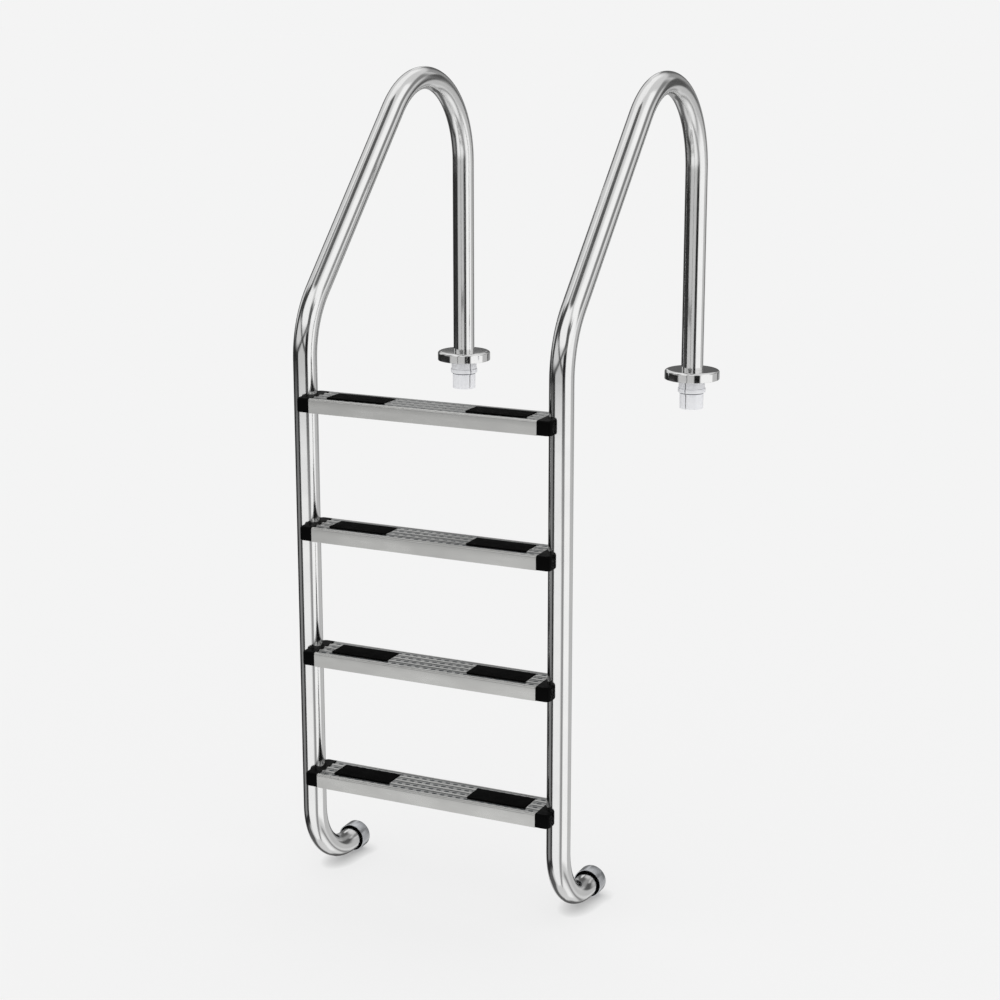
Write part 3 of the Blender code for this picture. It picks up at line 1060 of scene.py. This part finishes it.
@dataclass
class Tread(SubAssembly):
    """One pressed tread with its pads and end caps."""

    number: int
    depth: float = 0.080
    height: float = 0.026
    wall: float = 0.0015
    edge_radius: float = 0.004
    half_length: float = 0.2215
    rows: int = 4
    row_pitch: float = 0.0182
    columns: int = 27
    column_pitch: float = 0.016
    dash_length: float = 0.0098
    dash_width: float = 0.0054
    dash_height: float = 0.0006
    groove_half: float = 0.0071
    groove_wall: float = 0.0024
    groove_depth: float = 0.0014
    # Painted shade on the grooves' walls and floors, as shares of the darker colour.
    groove_side_tone: float = 0.60
    groove_floor_tone: float = 0.44
    pad_length: float = 0.116
    pad_depth: float = 0.047
    pad_margin: float = 0.0265
    pad_proud: float = 0.0012
    pad_overlap: float = 0.003
    pad_keeper: float = 0.0015
    pad_corner: float = 0.0012
    fit: float = 0.0003
    rail_x: float = 0.250
    saddle_radius: float = 0.0220
    lip_short: float = 0.002
    nose_radius: float = 0.008
    cap_foot: float = 0.002
    tongue_length: float = 0.016
    tongue_lift: float = 0.001
    surface_step: float = 0.0006
    run_step: float = 0.008

    @property
    def pad_x(self) -> float:
        """Middle of the right pad."""
        return self.half_length - self.pad_margin - self.pad_length / 2

    @property
    def place(self) -> Matrix:
        """Move from the middle of the tread's top to its place on the ladder."""
        low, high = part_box(f"tread_{self.number}_plate")
        return Matrix.Translation((0.0, (low.y + high.y) / 2, high.z))

    def build(self) -> None:
        """Builds the plate, the pads and the caps, and shows them."""
        tread = f"tread_{self.number}"
        plate = self.plate_mesh()
        plate.transform(self.place)
        node = f"{tread}_plate"
        show(f"{node}_pressed", plate, BRUSHED_TREAD, Slot.BRUSHED, LADDER, node)
        for side in Side:
            turn = Matrix.Rotation(0.0 if side is Side.RIGHT else math.pi, 4, "Z")
            for kind, mesh, finish, slot in (
                ("pad", self.pad_mesh(), RUBBER, Slot.RUBBER),
                ("cap", self.cap_mesh(), NYLON, Slot.PLASTIC),
            ):
                mesh.transform(self.place @ turn)
                node = f"{tread}_{side.label}_{kind}"
                show(f"{node}_moulded", mesh, finish, slot, LADDER, node)

    def pressing(self, x: float, y: float) -> float:
        """Depth of the pressed grooves at a point of the tread's top.

        Args:
            x: Place along the tread.
            y: Place across the tread.

        Returns:
            Depth below the flat top.
        """
        clear = abs(abs(x) - self.pad_x) - self.pad_length / 2 - 0.002
        open_middle = smooth_step(clear / 0.004)
        deepest = 0.0
        for row in range(self.rows):
            middle = (row - (self.rows - 1) / 2) * self.row_pitch
            inside = (self.groove_half - abs(y - middle)) / self.groove_wall
            share = 1.0 if abs(middle) > self.pad_depth / 2 else open_middle
            deepest = max(deepest, share * smooth_step(inside))
        return self.groove_depth * deepest

    def plate_mesh(self) -> bpy.types.Mesh:
        """Builds the pressed channel with its windows and dashes, and paints shade into its
        grooves.

        Returns:
            The mesh, about the middle of the tread's top.
        """
        half, bend = self.depth / 2, self.depth / 2 - self.edge_radius
        window_y = self.pad_depth / 2 - self.pad_overlap
        window_x = self.pad_length / 2 - self.pad_overlap
        steps = round(2 * bend / self.surface_step)
        flat = [-bend + 2 * bend * i / steps for i in range(1, steps)]
        flat = [y for y in flat if abs(abs(y) - window_y) > self.surface_step / 2]
        flat = sorted([*flat, -window_y, window_y])
        drop = [(half, -self.height), (half, -self.height / 2)]
        side = drop + arc((bend, -self.edge_radius), self.edge_radius, 0.0, 90.0, 15.0)
        front = [(-y, z) for y, z in side]
        section = front + [(y, None) for y in flat] + [(y, z) for y, z in reversed(side)]
        runs = round(2 * self.half_length / self.run_step)
        stations = {
            round(-self.half_length + 2 * self.half_length * i / runs, 5) for i in range(runs + 1)
        }
        for pad in (-self.pad_x, self.pad_x):
            for end in (-1, 1):
                edge = pad + end * window_x
                near = {s for s in stations if abs(s - edge) < 0.002}
                stations -= near
                stations |= {round(edge, 5)}
                rim = pad + end * self.pad_length / 2
                stations |= {round(rim + end * MM * k, 5) for k in (2, 3, 4, 5, 6)}
        xs = sorted(stations)
        bm = bmesh.new()
        grid = []
        for x in xs:
            column = []
            for y, z in section:
                column.append(bm.verts.new((x, y, -self.pressing(x, y) if z is None else z)))
            grid.append(column)
        for i in range(len(xs) - 1):
            inside_x = abs(abs((xs[i] + xs[i + 1]) / 2) - self.pad_x) < window_x
            for j in range(len(section) - 1):
                flat_face = section[j][1] is None and section[j + 1][1] is None
                inside_y = abs((section[j][0] + section[j + 1][0]) / 2) < window_y
                if inside_x and flat_face and inside_y:
                    continue
                bm.faces.new((grid[i][j], grid[i + 1][j], grid[i + 1][j + 1], grid[i][j + 1]))
        sheet = mesh_of(bm, "tread_plate", outwards=False)
        # Painted shade: groove walls and floors are darkened in place of the shade that falls in
        # them.
        tone = sheet.attributes.new(PRESSED, "FLOAT", "POINT")
        for vertex, value in zip(sheet.vertices, tone.data):
            sunk = -vertex.co.z / self.groove_depth
            if abs(vertex.co.y) < bend and sunk > 0.0:
                value.value = self.groove_floor_tone if sunk > 0.97 else self.groove_side_tone
        dash = bpy.data.objects.new("dash", self.dash_mesh())
        bpy.context.scene.collection.objects.link(dash)
        values = {
            "Dash": dash,
            "Columns": self.columns,
            "Rows": self.rows,
            "Column pitch": self.column_pitch,
            "Row pitch": self.row_pitch,
            "Pad near end": self.pad_x - self.pad_length / 2 - self.dash_length / 2,
            "Pad far end": self.pad_x + self.pad_length / 2 + self.dash_length / 2,
            "Pad half depth": self.pad_depth / 2,
            "Groove depth": self.groove_depth,
            "Finish": BRUSHED_TREAD.material(),
        }
        thick = {"thickness": self.wall, "offset": -1.0, "use_even_offset": True}
        mesh = evaluated(
            sheet,
            [
                ("SOLIDIFY", thick),
                ("NODES", {"node_group": DASHES, "node_inputs": values}),
            ],
        )
        shape = dash.data
        bpy.data.objects.remove(dash)
        bpy.data.meshes.remove(shape)
        mesh.shade_smooth()
        mesh.set_sharp_from_angle(angle=SMOOTH_LIMIT)
        return mesh

    def dash_mesh(self) -> bpy.types.Mesh:
        """Builds one pressed dash, a low long dome.

        Returns:
            The mesh, its foot on the groove's floor.
        """
        loops = []
        for inset, rise in ((0.0, -0.3), (0.0, 0.0), (0.18, 0.55), (0.5, 0.9), (0.85, 1.0)):
            cut = inset * self.dash_width
            length, width = self.dash_length - cut, self.dash_width - cut
            outline = rounded_rectangle(length, width, 0.49 * width, 30.0)
            loops.append([(x, y, rise * self.dash_height) for x, y in outline])
        return loft("dash", loops)

    def pad_mesh(self) -> bpy.types.Mesh:
        """Builds a pad with its neck through the window and its lip under the plate.

        Returns:
            The mesh of the right pad, about the middle of the tread's top.
        """
        neck = -2 * (self.pad_overlap + self.fit)
        lip = 2 * (self.pad_keeper - self.pad_overlap)
        below = -self.wall - self.fit
        soft = 0.0006
        levels = (
            (self.pad_proud, -2 * soft),
            (self.pad_proud - 0.15 * soft, -soft),
            (self.pad_proud - 0.5 * soft, -0.3 * soft),
            (self.pad_proud - soft, 0.0),
            (self.fit, 0.0),
            (self.fit, neck),
            (below, neck),
            (below, lip),
            (below - self.pad_keeper, lip),
        )
        loops = []
        for z, grow in levels:
            outline = rounded_rectangle(
                self.pad_length + grow, self.pad_depth + grow, self.pad_corner
            )
            loops.append([(self.pad_x + x, y, z) for x, y in outline])
        return loft("tread_pad", loops)

    def cap_outline(self, cut: float) -> list:
        """Follows the right cap's edge.

        Args:
            cut: Distance by which its outer sides are set back.

        Returns:
            Points from the plate round the nose and the saddle, and back to the plate.
        """
        half = self.depth / 2 - cut
        start, lip = self.half_length + self.fit, self.rail_x - self.lip_short - cut
        mouth = math.degrees(math.acos((self.rail_x - lip) / self.saddle_radius))
        nose = self.nose_radius
        steps = 24
        turns = [180.0 + mouth * (1 - 2 * i / steps) for i in range(steps + 1)]
        middle = Vector((self.rail_x, 0.0))
        saddle = [middle + self.saddle_radius * direction(turn) for turn in turns]
        corner = arc((lip - nose, half - nose), nose, 0.0, 90.0, 10.0)
        front = [(x, -y) for x, y in reversed(corner)]
        return [(start, -half), *front, *saddle, *corner, (start, half)]

    def cap_mesh(self) -> bpy.types.Mesh:
        """Builds an end cap with its saddle round the tube and its tongue in the channel.

        Returns:
            The mesh of the right cap, about the middle of the tread's top.
        """
        top, foot = self.edge_radius, self.cap_foot
        rise = arc((0.0, -top), top, 0.0, 90.0, 15.0)
        fall = arc((0.0, foot - self.height), foot, -90.0, 0.0, 30.0)
        levels = [(foot - x, z) for x, z in fall] + [(top - x, z) for x, z in rise]
        block = loft(
            "tread_cap", [[(x, y, z) for x, y in self.cap_outline(cut)] for cut, z in levels]
        )
        width = self.depth - 2 * (self.wall + self.fit)
        face = self.half_length - self.tongue_length
        length = self.tongue_length + 0.0035
        shape = rounded_rectangle(length, width, 0.0015)
        low, high = self.tongue_lift - self.height, -max(self.wall, self.edge_radius) - self.fit
        tongue = loft(
            "tongue", [[(face + length / 2 + x, y, z) for x, y in shape] for z in (low, high)]
        )
        mesh = union(block, tongue)
        mesh.shade_smooth()
        mesh.set_sharp_from_angle(angle=SMOOTH_LIMIT)
        return mesh


@dataclass
class DeckAnchor(SubAssembly):
    """The cover plate and the split sleeve on one deck tube."""

    side: Side
    x: float = 0.250
    cover_radius: float = 0.054
    cover_height: float = 0.0185
    cover_wall: float = 0.0015
    crown_width: float = 0.007
    crown_drop: float = 0.0045
    cover_bore: float = 0.0219
    bore: float = 0.0221
    upper_wall: float = 0.0035
    lower_wall: float = 0.0014
    taper: float = 0.0005
    collar_depth: float = 0.0185
    collar_height: float = 0.008
    collar_raise: float = 0.0016
    groove_height: float = 0.0024
    groove_depth: float = 0.0008
    depth: float = 0.059
    top: float = 0.0167
    ledge: float = 0.003
    slot_width: float = 0.0025
    soft_edge: float = 0.0007
    facets: int = 144

    @property
    def slot_angle(self) -> float:
        """Angle of the sleeve's slot in degrees, as it happens to stand."""
        return -33.0 if self.side is Side.LEFT else -99.0

    def build(self) -> None:
        """Builds the cover and the sleeve, and shows them."""
        label = self.side.label
        move = Matrix.Translation((self.side.value * self.x, 0.0, 0.0))
        cover, sleeve = self.cover_mesh(), self.sleeve_mesh()
        cover.transform(move)
        sleeve.transform(move)
        show(
            f"{label}_cover_polished",
            cover,
            POLISHED_COVER,
            Slot.POLISHED,
            f"{label}_cover",
            f"{label}_escutcheon",
        )
        show(
            f"{label}_sleeve_moulded",
            sleeve,
            POLYETHYLENE,
            Slot.PALE,
            LADDER,
            f"{label}_anchor_sleeve",
        )

    def cover_mesh(self) -> bpy.types.Mesh:
        """Builds the hollow cover plate.

        Returns:
            The mesh, about the deck tube's axis.
        """
        outer, inner = self.crown(0.0, 5.0), self.crown(self.cover_wall, 15.0)
        soft = self.soft_edge / 2
        foot = [(self.cover_radius - soft, 0.0), (self.cover_radius, soft)]
        hole = [
            (self.cover_bore + soft, self.cover_height),
            (self.cover_bore, self.cover_height - soft),
            (self.cover_bore, self.cover_height - self.cover_wall),
        ]
        rim = (self.cover_radius - self.cover_wall, 0.0)
        outline = [*foot, *outer, *hole, *reversed(inner), rim]
        return turned("cover", outline, self.facets)

    def crown(self, inset: float, step: float) -> list[Point]:
        """Follows the rounded edge of the cover.

        Args:
            inset: Distance below the outer surface.
            step: Largest angle between points in degrees.

        Returns:
            Points from the cover's side up to its flat top.
        """
        flat, side = self.cover_radius - self.crown_width, self.cover_height - self.crown_drop
        width, drop = self.crown_width - inset, self.crown_drop - inset
        turns = arc((0.0, 0.0), 1.0, 0.0, 90.0, step)
        return [(flat + width * turn.x, side + drop * turn.y) for turn in turns]

    def sleeve_mesh(self) -> bpy.types.Mesh:
        """Builds the split sleeve with its collar and ledge, and paints shade into the groove under
        the collar.

        Returns:
            The mesh, about the deck tube's axis.
        """
        upper, lower = self.bore + self.upper_wall, self.bore + self.lower_wall
        collar = upper + self.collar_raise
        collar_end = -self.collar_depth - self.collar_height
        shelf = self.ledge - self.depth
        outline = [
            (self.bore, self.top),
            (self.bore, shelf),
            (self.bore - self.ledge, shelf),
            (self.bore - self.ledge, -self.depth),
            (lower - self.taper, -self.depth),
            (lower, collar_end - self.groove_height),
            (lower - self.groove_depth, collar_end - self.groove_height),
            (lower - self.groove_depth, collar_end),
            (collar, collar_end),
            (collar, -self.collar_depth),
            (upper, -self.collar_depth),
            (upper, self.top),
        ]
        width = math.degrees(2 * math.asin(self.slot_width / 2 / upper))
        shape = rounded(outline, self.soft_edge)
        mesh = turned("sleeve", shape, self.facets, (self.slot_angle, width))
        # Painted shade: marks the groove under the collar for the darker colour.
        tone = mesh.attributes.new(PRESSED, "FLOAT", "POINT")
        floor = lower - self.groove_depth / 2
        for vertex, value in zip(mesh.vertices, tone.data):
            below = collar_end - vertex.co.z
            if 0.0 < below < self.groove_height and self.bore < vertex.co.xy.length < floor:
                value.value = 1.0
        return mesh


@dataclass
class WallBumper(SubAssembly):
    """The drum and the rubber bush on one hook."""

    side: Side
    length: float = 0.026
    drum_inner: float = 0.0252
    drum_outer: float = 0.0267
    bush_radius: float = 0.0248
    bore: float = 0.0219
    floor: float = 0.006
    lip: float = 0.0002
    face_proud: float = 0.002
    soft_edge: float = 0.0005
    facets: int = 120

    def build(self) -> None:
        """Builds the drum and the bush, and shows them."""
        label = self.side.label
        low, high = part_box(f"{label}_bumper_drum")
        middle = (low + high) / 2
        move = Matrix.Translation((middle.x, low.y, middle.z))
        place = move @ Matrix.Rotation(-math.pi / 2, 4, "X")
        drum, bush = self.drum_mesh(), self.bush_mesh()
        drum.transform(place)
        bush.transform(place)
        node = f"{label}_bumper_drum"
        show(f"{node}_brushed", drum, BRUSHED_DRUM, Slot.BRUSHED, LADDER, node)
        node = f"{label}_bumper_bush"
        show(f"{node}_moulded", bush, RUBBER, Slot.RUBBER, LADDER, node)

    def drum_mesh(self) -> bpy.types.Mesh:
        """Builds the drum along its axis, its tube side first.

        Returns:
            The mesh, about Z.
        """
        outline = [
            (self.drum_inner, 0.0),
            (self.drum_outer, 0.0),
            (self.drum_outer, self.length),
            (self.drum_inner, self.length),
        ]
        return turned("drum", rounded(outline, self.soft_edge), self.facets)

    def bush_mesh(self) -> bpy.types.Mesh:
        """Builds the rubber cup along its axis, its tube side first.

        Returns:
            The mesh, about Z.
        """
        deep, face = self.length - self.floor, self.length + self.face_proud
        soft = self.soft_edge
        outline = [
            (self.bore, -self.lip),
            (self.bore, deep),
            (0.0, deep),
            (0.0, face),
            (self.bush_radius - 2 * soft, face),
            (self.bush_radius - 0.6 * soft, face - 0.6 * soft),
            (self.bush_radius, face - 2 * soft),
            (self.bush_radius, -self.lip + soft),
            (self.bush_radius - soft, -self.lip),
        ]
        return turned("bush", outline, self.facets)


@dataclass
class Fastenings(SubAssembly):
    """The screws, washers and rivet nuts, which keep their own shapes."""

    kinds: tuple[str, ...] = ("screw", "washer", "rivet_nut")

    def build(self) -> None:
        """Gives the fasteners their finish."""
        for name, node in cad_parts.items():
            if name.endswith(self.kinds):
                node.material_slots[0].material = FASTENER_STEEL.material()
                LOG.info("%s: finish set", name)


@dataclass(frozen=True)
class Panel:
    """A card, flag or lamp on the studio's walls that only mirroring metal sees.

    Bearings run in degrees from X towards Y, and heights in degrees from the horizon.
    """

    name: str
    bearing: Point
    height: Point
    level: float
    soft: Point = (3.0, 3.0)
    slant: float = 0.0


WALL_LEVEL = 0.82
WALL_SEAM = 120.0
PANELS = (
    Panel("floor in front", (-130.0, -60.0), (-75.0, -11.4), 1.15, (4.0, 0.8)),
    Panel("front wall", (-128.0, -60.0), (-11.4, 6.0), 0.68, (4.0, 0.8)),
    Panel("front lamp", (-136.0, -56.0), (25.0, 68.0), 1.20, (8.0, 3.0)),
    Panel("right lamp", (-34.0, 44.0), (8.0, 64.0), 1.25, (4.0, 8.0)),
    Panel("right window", (-34.0, 26.0), (-32.0, 10.0), 1.22, (4.0, 4.0)),
    Panel("right card", (26.0, 76.0), (-32.0, 6.0), 0.64, (5.0, 4.0)),
    Panel("right flag", (14.0, 66.0), (14.0, 33.0), 0.28, (6.0, 5.0)),
    Panel("back gap", (72.0, 96.0), (-4.0, 30.0), 0.36, (4.0, 4.0)),
    Panel("back corner", (60.0, 76.0), (-12.0, 14.0), 0.10, (4.0, 4.0)),
    Panel("back wall", (92.0, 130.0), (-3.0, 28.0), 0.13, (6.0, 5.0)),
    Panel("back skirting", (80.0, 130.0), (-26.0, -3.0), 0.36, (5.0, 4.0)),
    Panel("back floor", (88.0, 130.0), (-62.0, -28.0), 0.12, (8.0, 5.0)),
    Panel("back wall, left end", (-250.0, -205.0), (-30.0, 20.0), 0.15, (5.0, 5.0)),
    Panel("back window", (112.0, 130.0), (11.6, 30.0), 0.90, (2.0, 1.0)),
    Panel("back window, left end", (-250.0, -238.0), (11.6, 30.0), 0.90, (1.5, 1.0)),
    Panel("back lamp", (90.0, 130.0), (38.0, 82.0), 1.15, (8.0, 5.0)),
    Panel("back lamp, left end", (-250.0, -158.0), (46.0, 82.0), 1.15, (8.0, 5.0)),
    Panel("left flag", (-214.0, -128.0), (-44.0, 2.0), 0.025, (4.0, 6.0)),
    Panel("left flag, lower end", (-250.0, -150.0), (-66.0, -40.0), 0.12, (8.0, 6.0)),
    Panel("left gap", (-181.0, -148.0), (-30.0, -11.0), 0.26, (3.0, 2.0)),
    Panel("left flag, upper end", (-184.0, -160.0), (0.0, 38.0), 0.04, (4.0, 4.0)),
    Panel("left boom", (-170.0, -138.0), (24.0, 62.0), 0.06, (5.0, 6.0)),
    Panel("front boom, falling", (-168.0, -56.0), (18.0, 24.0), 0.05, (6.0, 3.0), -21.8),
    Panel("front boom, rising", (-141.0, -17.0), (14.0, 20.0), 0.05, (6.0, 3.0), 17.8),
    Panel("strip flag", (-61.0, -36.0), (-13.0, 18.0), 0.008, (3.0, 2.0)),
    Panel("strip flag, upper end", (-58.0, -32.0), (18.0, 46.0), 0.12, (4.0, 5.0)),
    Panel("strip flag, lower end", (-54.0, -34.0), (-76.0, -13.0), 0.36, (5.0, 2.0)),
    Panel("floor seam", (-14.0, 90.0), (-48.0, -41.0), 0.32, (12.0, 3.0)),
    Panel("floor card", (-30.0, 60.0), (-72.0, -54.0), 1.15, (10.0, 5.0)),
    Panel("ceiling gap", (-152.0, -52.0), (69.0, 91.0), 0.12, (8.0, 3.0)),
)


@dataclass
class Studio(SubAssembly):
    """Floor, walls, light and camera."""

    backdrop: str = "#F4F4F4"
    shadow: str = "#8C8C8C"
    shadow_reach: float = 0.026
    floor_glow: float = 0.75
    floor_gap: float = 0.0002
    floor_half: float = 60.0
    camera_at: tuple[float, float, float] = (1.626, -3.793, 0.752)
    camera_turn: float = 25.31
    camera_tilt: float = 13.96
    focal_length: float = 74.64

    def build(self) -> None:
        """Builds the studio round the ladder."""
        self.floor()
        self.walls()
        self.camera()
        bpy.context.scene.view_settings.view_transform = "Standard"

    def floor(self) -> None:
        """Lays the pale floor, which metal and the view from below look through."""
        made = bpy.data.materials.new("floor paper")
        made.use_nodes = True
        tree = made.node_tree
        tree.nodes.clear()
        path = add_node(tree, "ShaderNodeLightPath")
        back = add_node(tree, "ShaderNodeNewGeometry")
        seen = {0: path.outputs["Is Glossy Ray"], 1: back.outputs["Backfacing"]}
        either = add_node(tree, "ShaderNodeMath", seen, operation="MAXIMUM")
        paper = add_node(tree, "ShaderNodeBsdfDiffuse", {"Color": linear(self.backdrop)})
        near = add_node(tree, "ShaderNodeAmbientOcclusion", {"Distance": self.shadow_reach})
        tone = add_node(tree, "ShaderNodeMix", {0: near.outputs["AO"]}, data_type="RGBA")
        tone.inputs[6].default_value = linear(self.shadow)
        tone.inputs[7].default_value = linear(self.backdrop)
        glow = add_node(tree, "ShaderNodeEmission", {"Color": tone.outputs[2]})
        pale = {0: self.floor_glow, 1: paper.outputs[0], 2: glow.outputs[0]}
        lit = add_node(tree, "ShaderNodeMixShader", pale)
        clear = add_node(tree, "ShaderNodeBsdfTransparent")
        mix = {0: either.outputs[0], 1: lit.outputs[0], 2: clear.outputs[0]}
        both = add_node(tree, "ShaderNodeMixShader", mix)
        add_node(tree, "ShaderNodeOutputMaterial", {"Surface": both.outputs[0]})
        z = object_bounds()[0].z - self.floor_gap
        r = self.floor_half
        mesh = bpy.data.meshes.new("floor")
        mesh.from_pydata([(-r, -r, z), (r, -r, z), (r, r, z), (-r, r, z)], [], [(0, 1, 2, 3)])
        mesh.materials.append(made)
        floor = bpy.data.objects.new("floor", mesh)
        bpy.context.scene.collection.objects.link(floor)
        floor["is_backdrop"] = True

    def walls(self) -> None:
        """Sets an even light, and panels round the ladder that its metal mirrors."""
        world = bpy.data.worlds.new("studio")
        bpy.context.scene.world = world
        world.use_nodes = True
        tree = world.node_tree
        tree.nodes.clear()
        path = add_node(tree, "ShaderNodeLightPath")
        even = add_node(
            tree, "ShaderNodeMix", {0: path.outputs["Is Camera Ray"]}, data_type="RGBA"
        )
        even.inputs[6].default_value = linear("#FFFFFF")
        even.inputs[7].default_value = linear(self.backdrop)
        seen = add_node(
            tree, "ShaderNodeMix", {0: path.outputs["Is Glossy Ray"]}, data_type="RGBA"
        )
        tree.links.new(even.outputs[2], seen.inputs[6])
        tree.links.new(self.panelled(tree), seen.inputs[7])
        light = add_node(tree, "ShaderNodeBackground", {"Color": seen.outputs[2]})
        add_node(tree, "ShaderNodeOutputWorld", {"Surface": light.outputs[0]})

    def panelled(self, tree: bpy.types.NodeTree) -> bpy.types.NodeSocket:
        """Hangs the panels on the studio's walls.

        Args:
            tree: The world's tree.

        Returns:
            Brightness of the wall in each direction.
        """
        way = add_node(tree, "ShaderNodeTexCoord")
        parts = add_node(tree, "ShaderNodeSeparateXYZ", {0: way.outputs["Generated"]})
        flat = {0: parts.outputs["Y"], 1: parts.outputs["X"]}
        around = add_node(tree, "ShaderNodeMath", flat, operation="ARCTAN2")
        above = add_node(tree, "ShaderNodeMath", {0: parts.outputs["Z"]}, operation="ARCSINE")
        turns = add_node(tree, "ShaderNodeMath", {0: around.outputs[0]}, operation="DEGREES")
        height = add_node(tree, "ShaderNodeMath", {0: above.outputs[0]}, operation="DEGREES")
        span = {0: turns.outputs[0], 1: WALL_SEAM, 2: WALL_SEAM - 360.0}
        bearing = add_node(tree, "ShaderNodeMath", span, operation="WRAP")
        both = {0: bearing.outputs[0], 1: height.outputs[0]}
        place = add_node(tree, "ShaderNodeCombineXYZ", both).outputs[0]
        shade: bpy.types.NodeSocket | float = WALL_LEVEL
        for panel in PANELS:
            ends = (panel.bearing, panel.height)
            middle = [(low + high) / 2 for low, high in ends] + [0.0]
            half = [(high - low) / 2 for low, high in ends]
            off = {0: place, 1: middle}
            away = add_node(tree, "ShaderNodeVectorMath", off, operation="SUBTRACT")
            if panel.slant:
                level = {"Vector": away.outputs[0], "Angle": math.radians(-panel.slant)}
                away = add_node(tree, "ShaderNodeVectorRotate", level, rotation_type="Z_AXIS")
            plain = {0: away.outputs[0]}
            size = add_node(tree, "ShaderNodeVectorMath", plain, operation="ABSOLUTE")
            outer = [h + soft for h, soft in zip(half, panel.soft)] + [1.0]
            inner = [h - soft for h, soft in zip(half, panel.soft)] + [0.0]
            inside = add_node(
                tree,
                "ShaderNodeMapRange",
                {6: size.outputs[0], 7: outer, 8: inner},
                data_type="FLOAT_VECTOR",
                interpolation_type="SMOOTHSTEP",
            )
            shares = add_node(tree, "ShaderNodeSeparateXYZ", {0: inside.outputs["Vector"]})
            cover = {0: shares.outputs["X"], 1: shares.outputs["Y"]}
            mask = add_node(tree, "ShaderNodeMath", cover, operation="MULTIPLY")
            mix = {0: mask.outputs[0], 2: shade, 3: panel.level}
            shade = add_node(tree, "ShaderNodeMix", mix, data_type="FLOAT").outputs[0]
        return shade

    def camera(self) -> None:
        """Sets up the camera at the photograph's viewing angle."""
        lens = bpy.data.cameras.new("camera")
        lens.lens = self.focal_length
        lens.clip_start, lens.clip_end = 0.05, 200.0
        camera = bpy.data.objects.new("camera", lens)
        camera.location = self.camera_at
        tilt, turn = math.radians(90.0 - self.camera_tilt), math.radians(self.camera_turn)
        camera.rotation_euler = (tilt, 0.0, turn)
        bpy.context.scene.collection.objects.link(camera)
        bpy.context.scene.camera = camera


RAIL_SWEEP = tube_tree()
DASHES = dash_tree()


def main() -> None:
    """Builds every sub-assembly and the studio round them."""
    logging.basicConfig(level=logging.INFO, format="%(name)s %(message)s")
    pieces: list[SubAssembly] = []
    for side in Side:
        pieces += [Handrail(side), DeckAnchor(side), WallBumper(side)]
    pieces += [Tread(number) for number in range(1, 5)]
    pieces += [Fastenings(), Studio()]
    for piece in pieces:
        LOG.info("building %s", type(piece).__name__)
        piece.build()


if __name__ == "__main__":
    main()
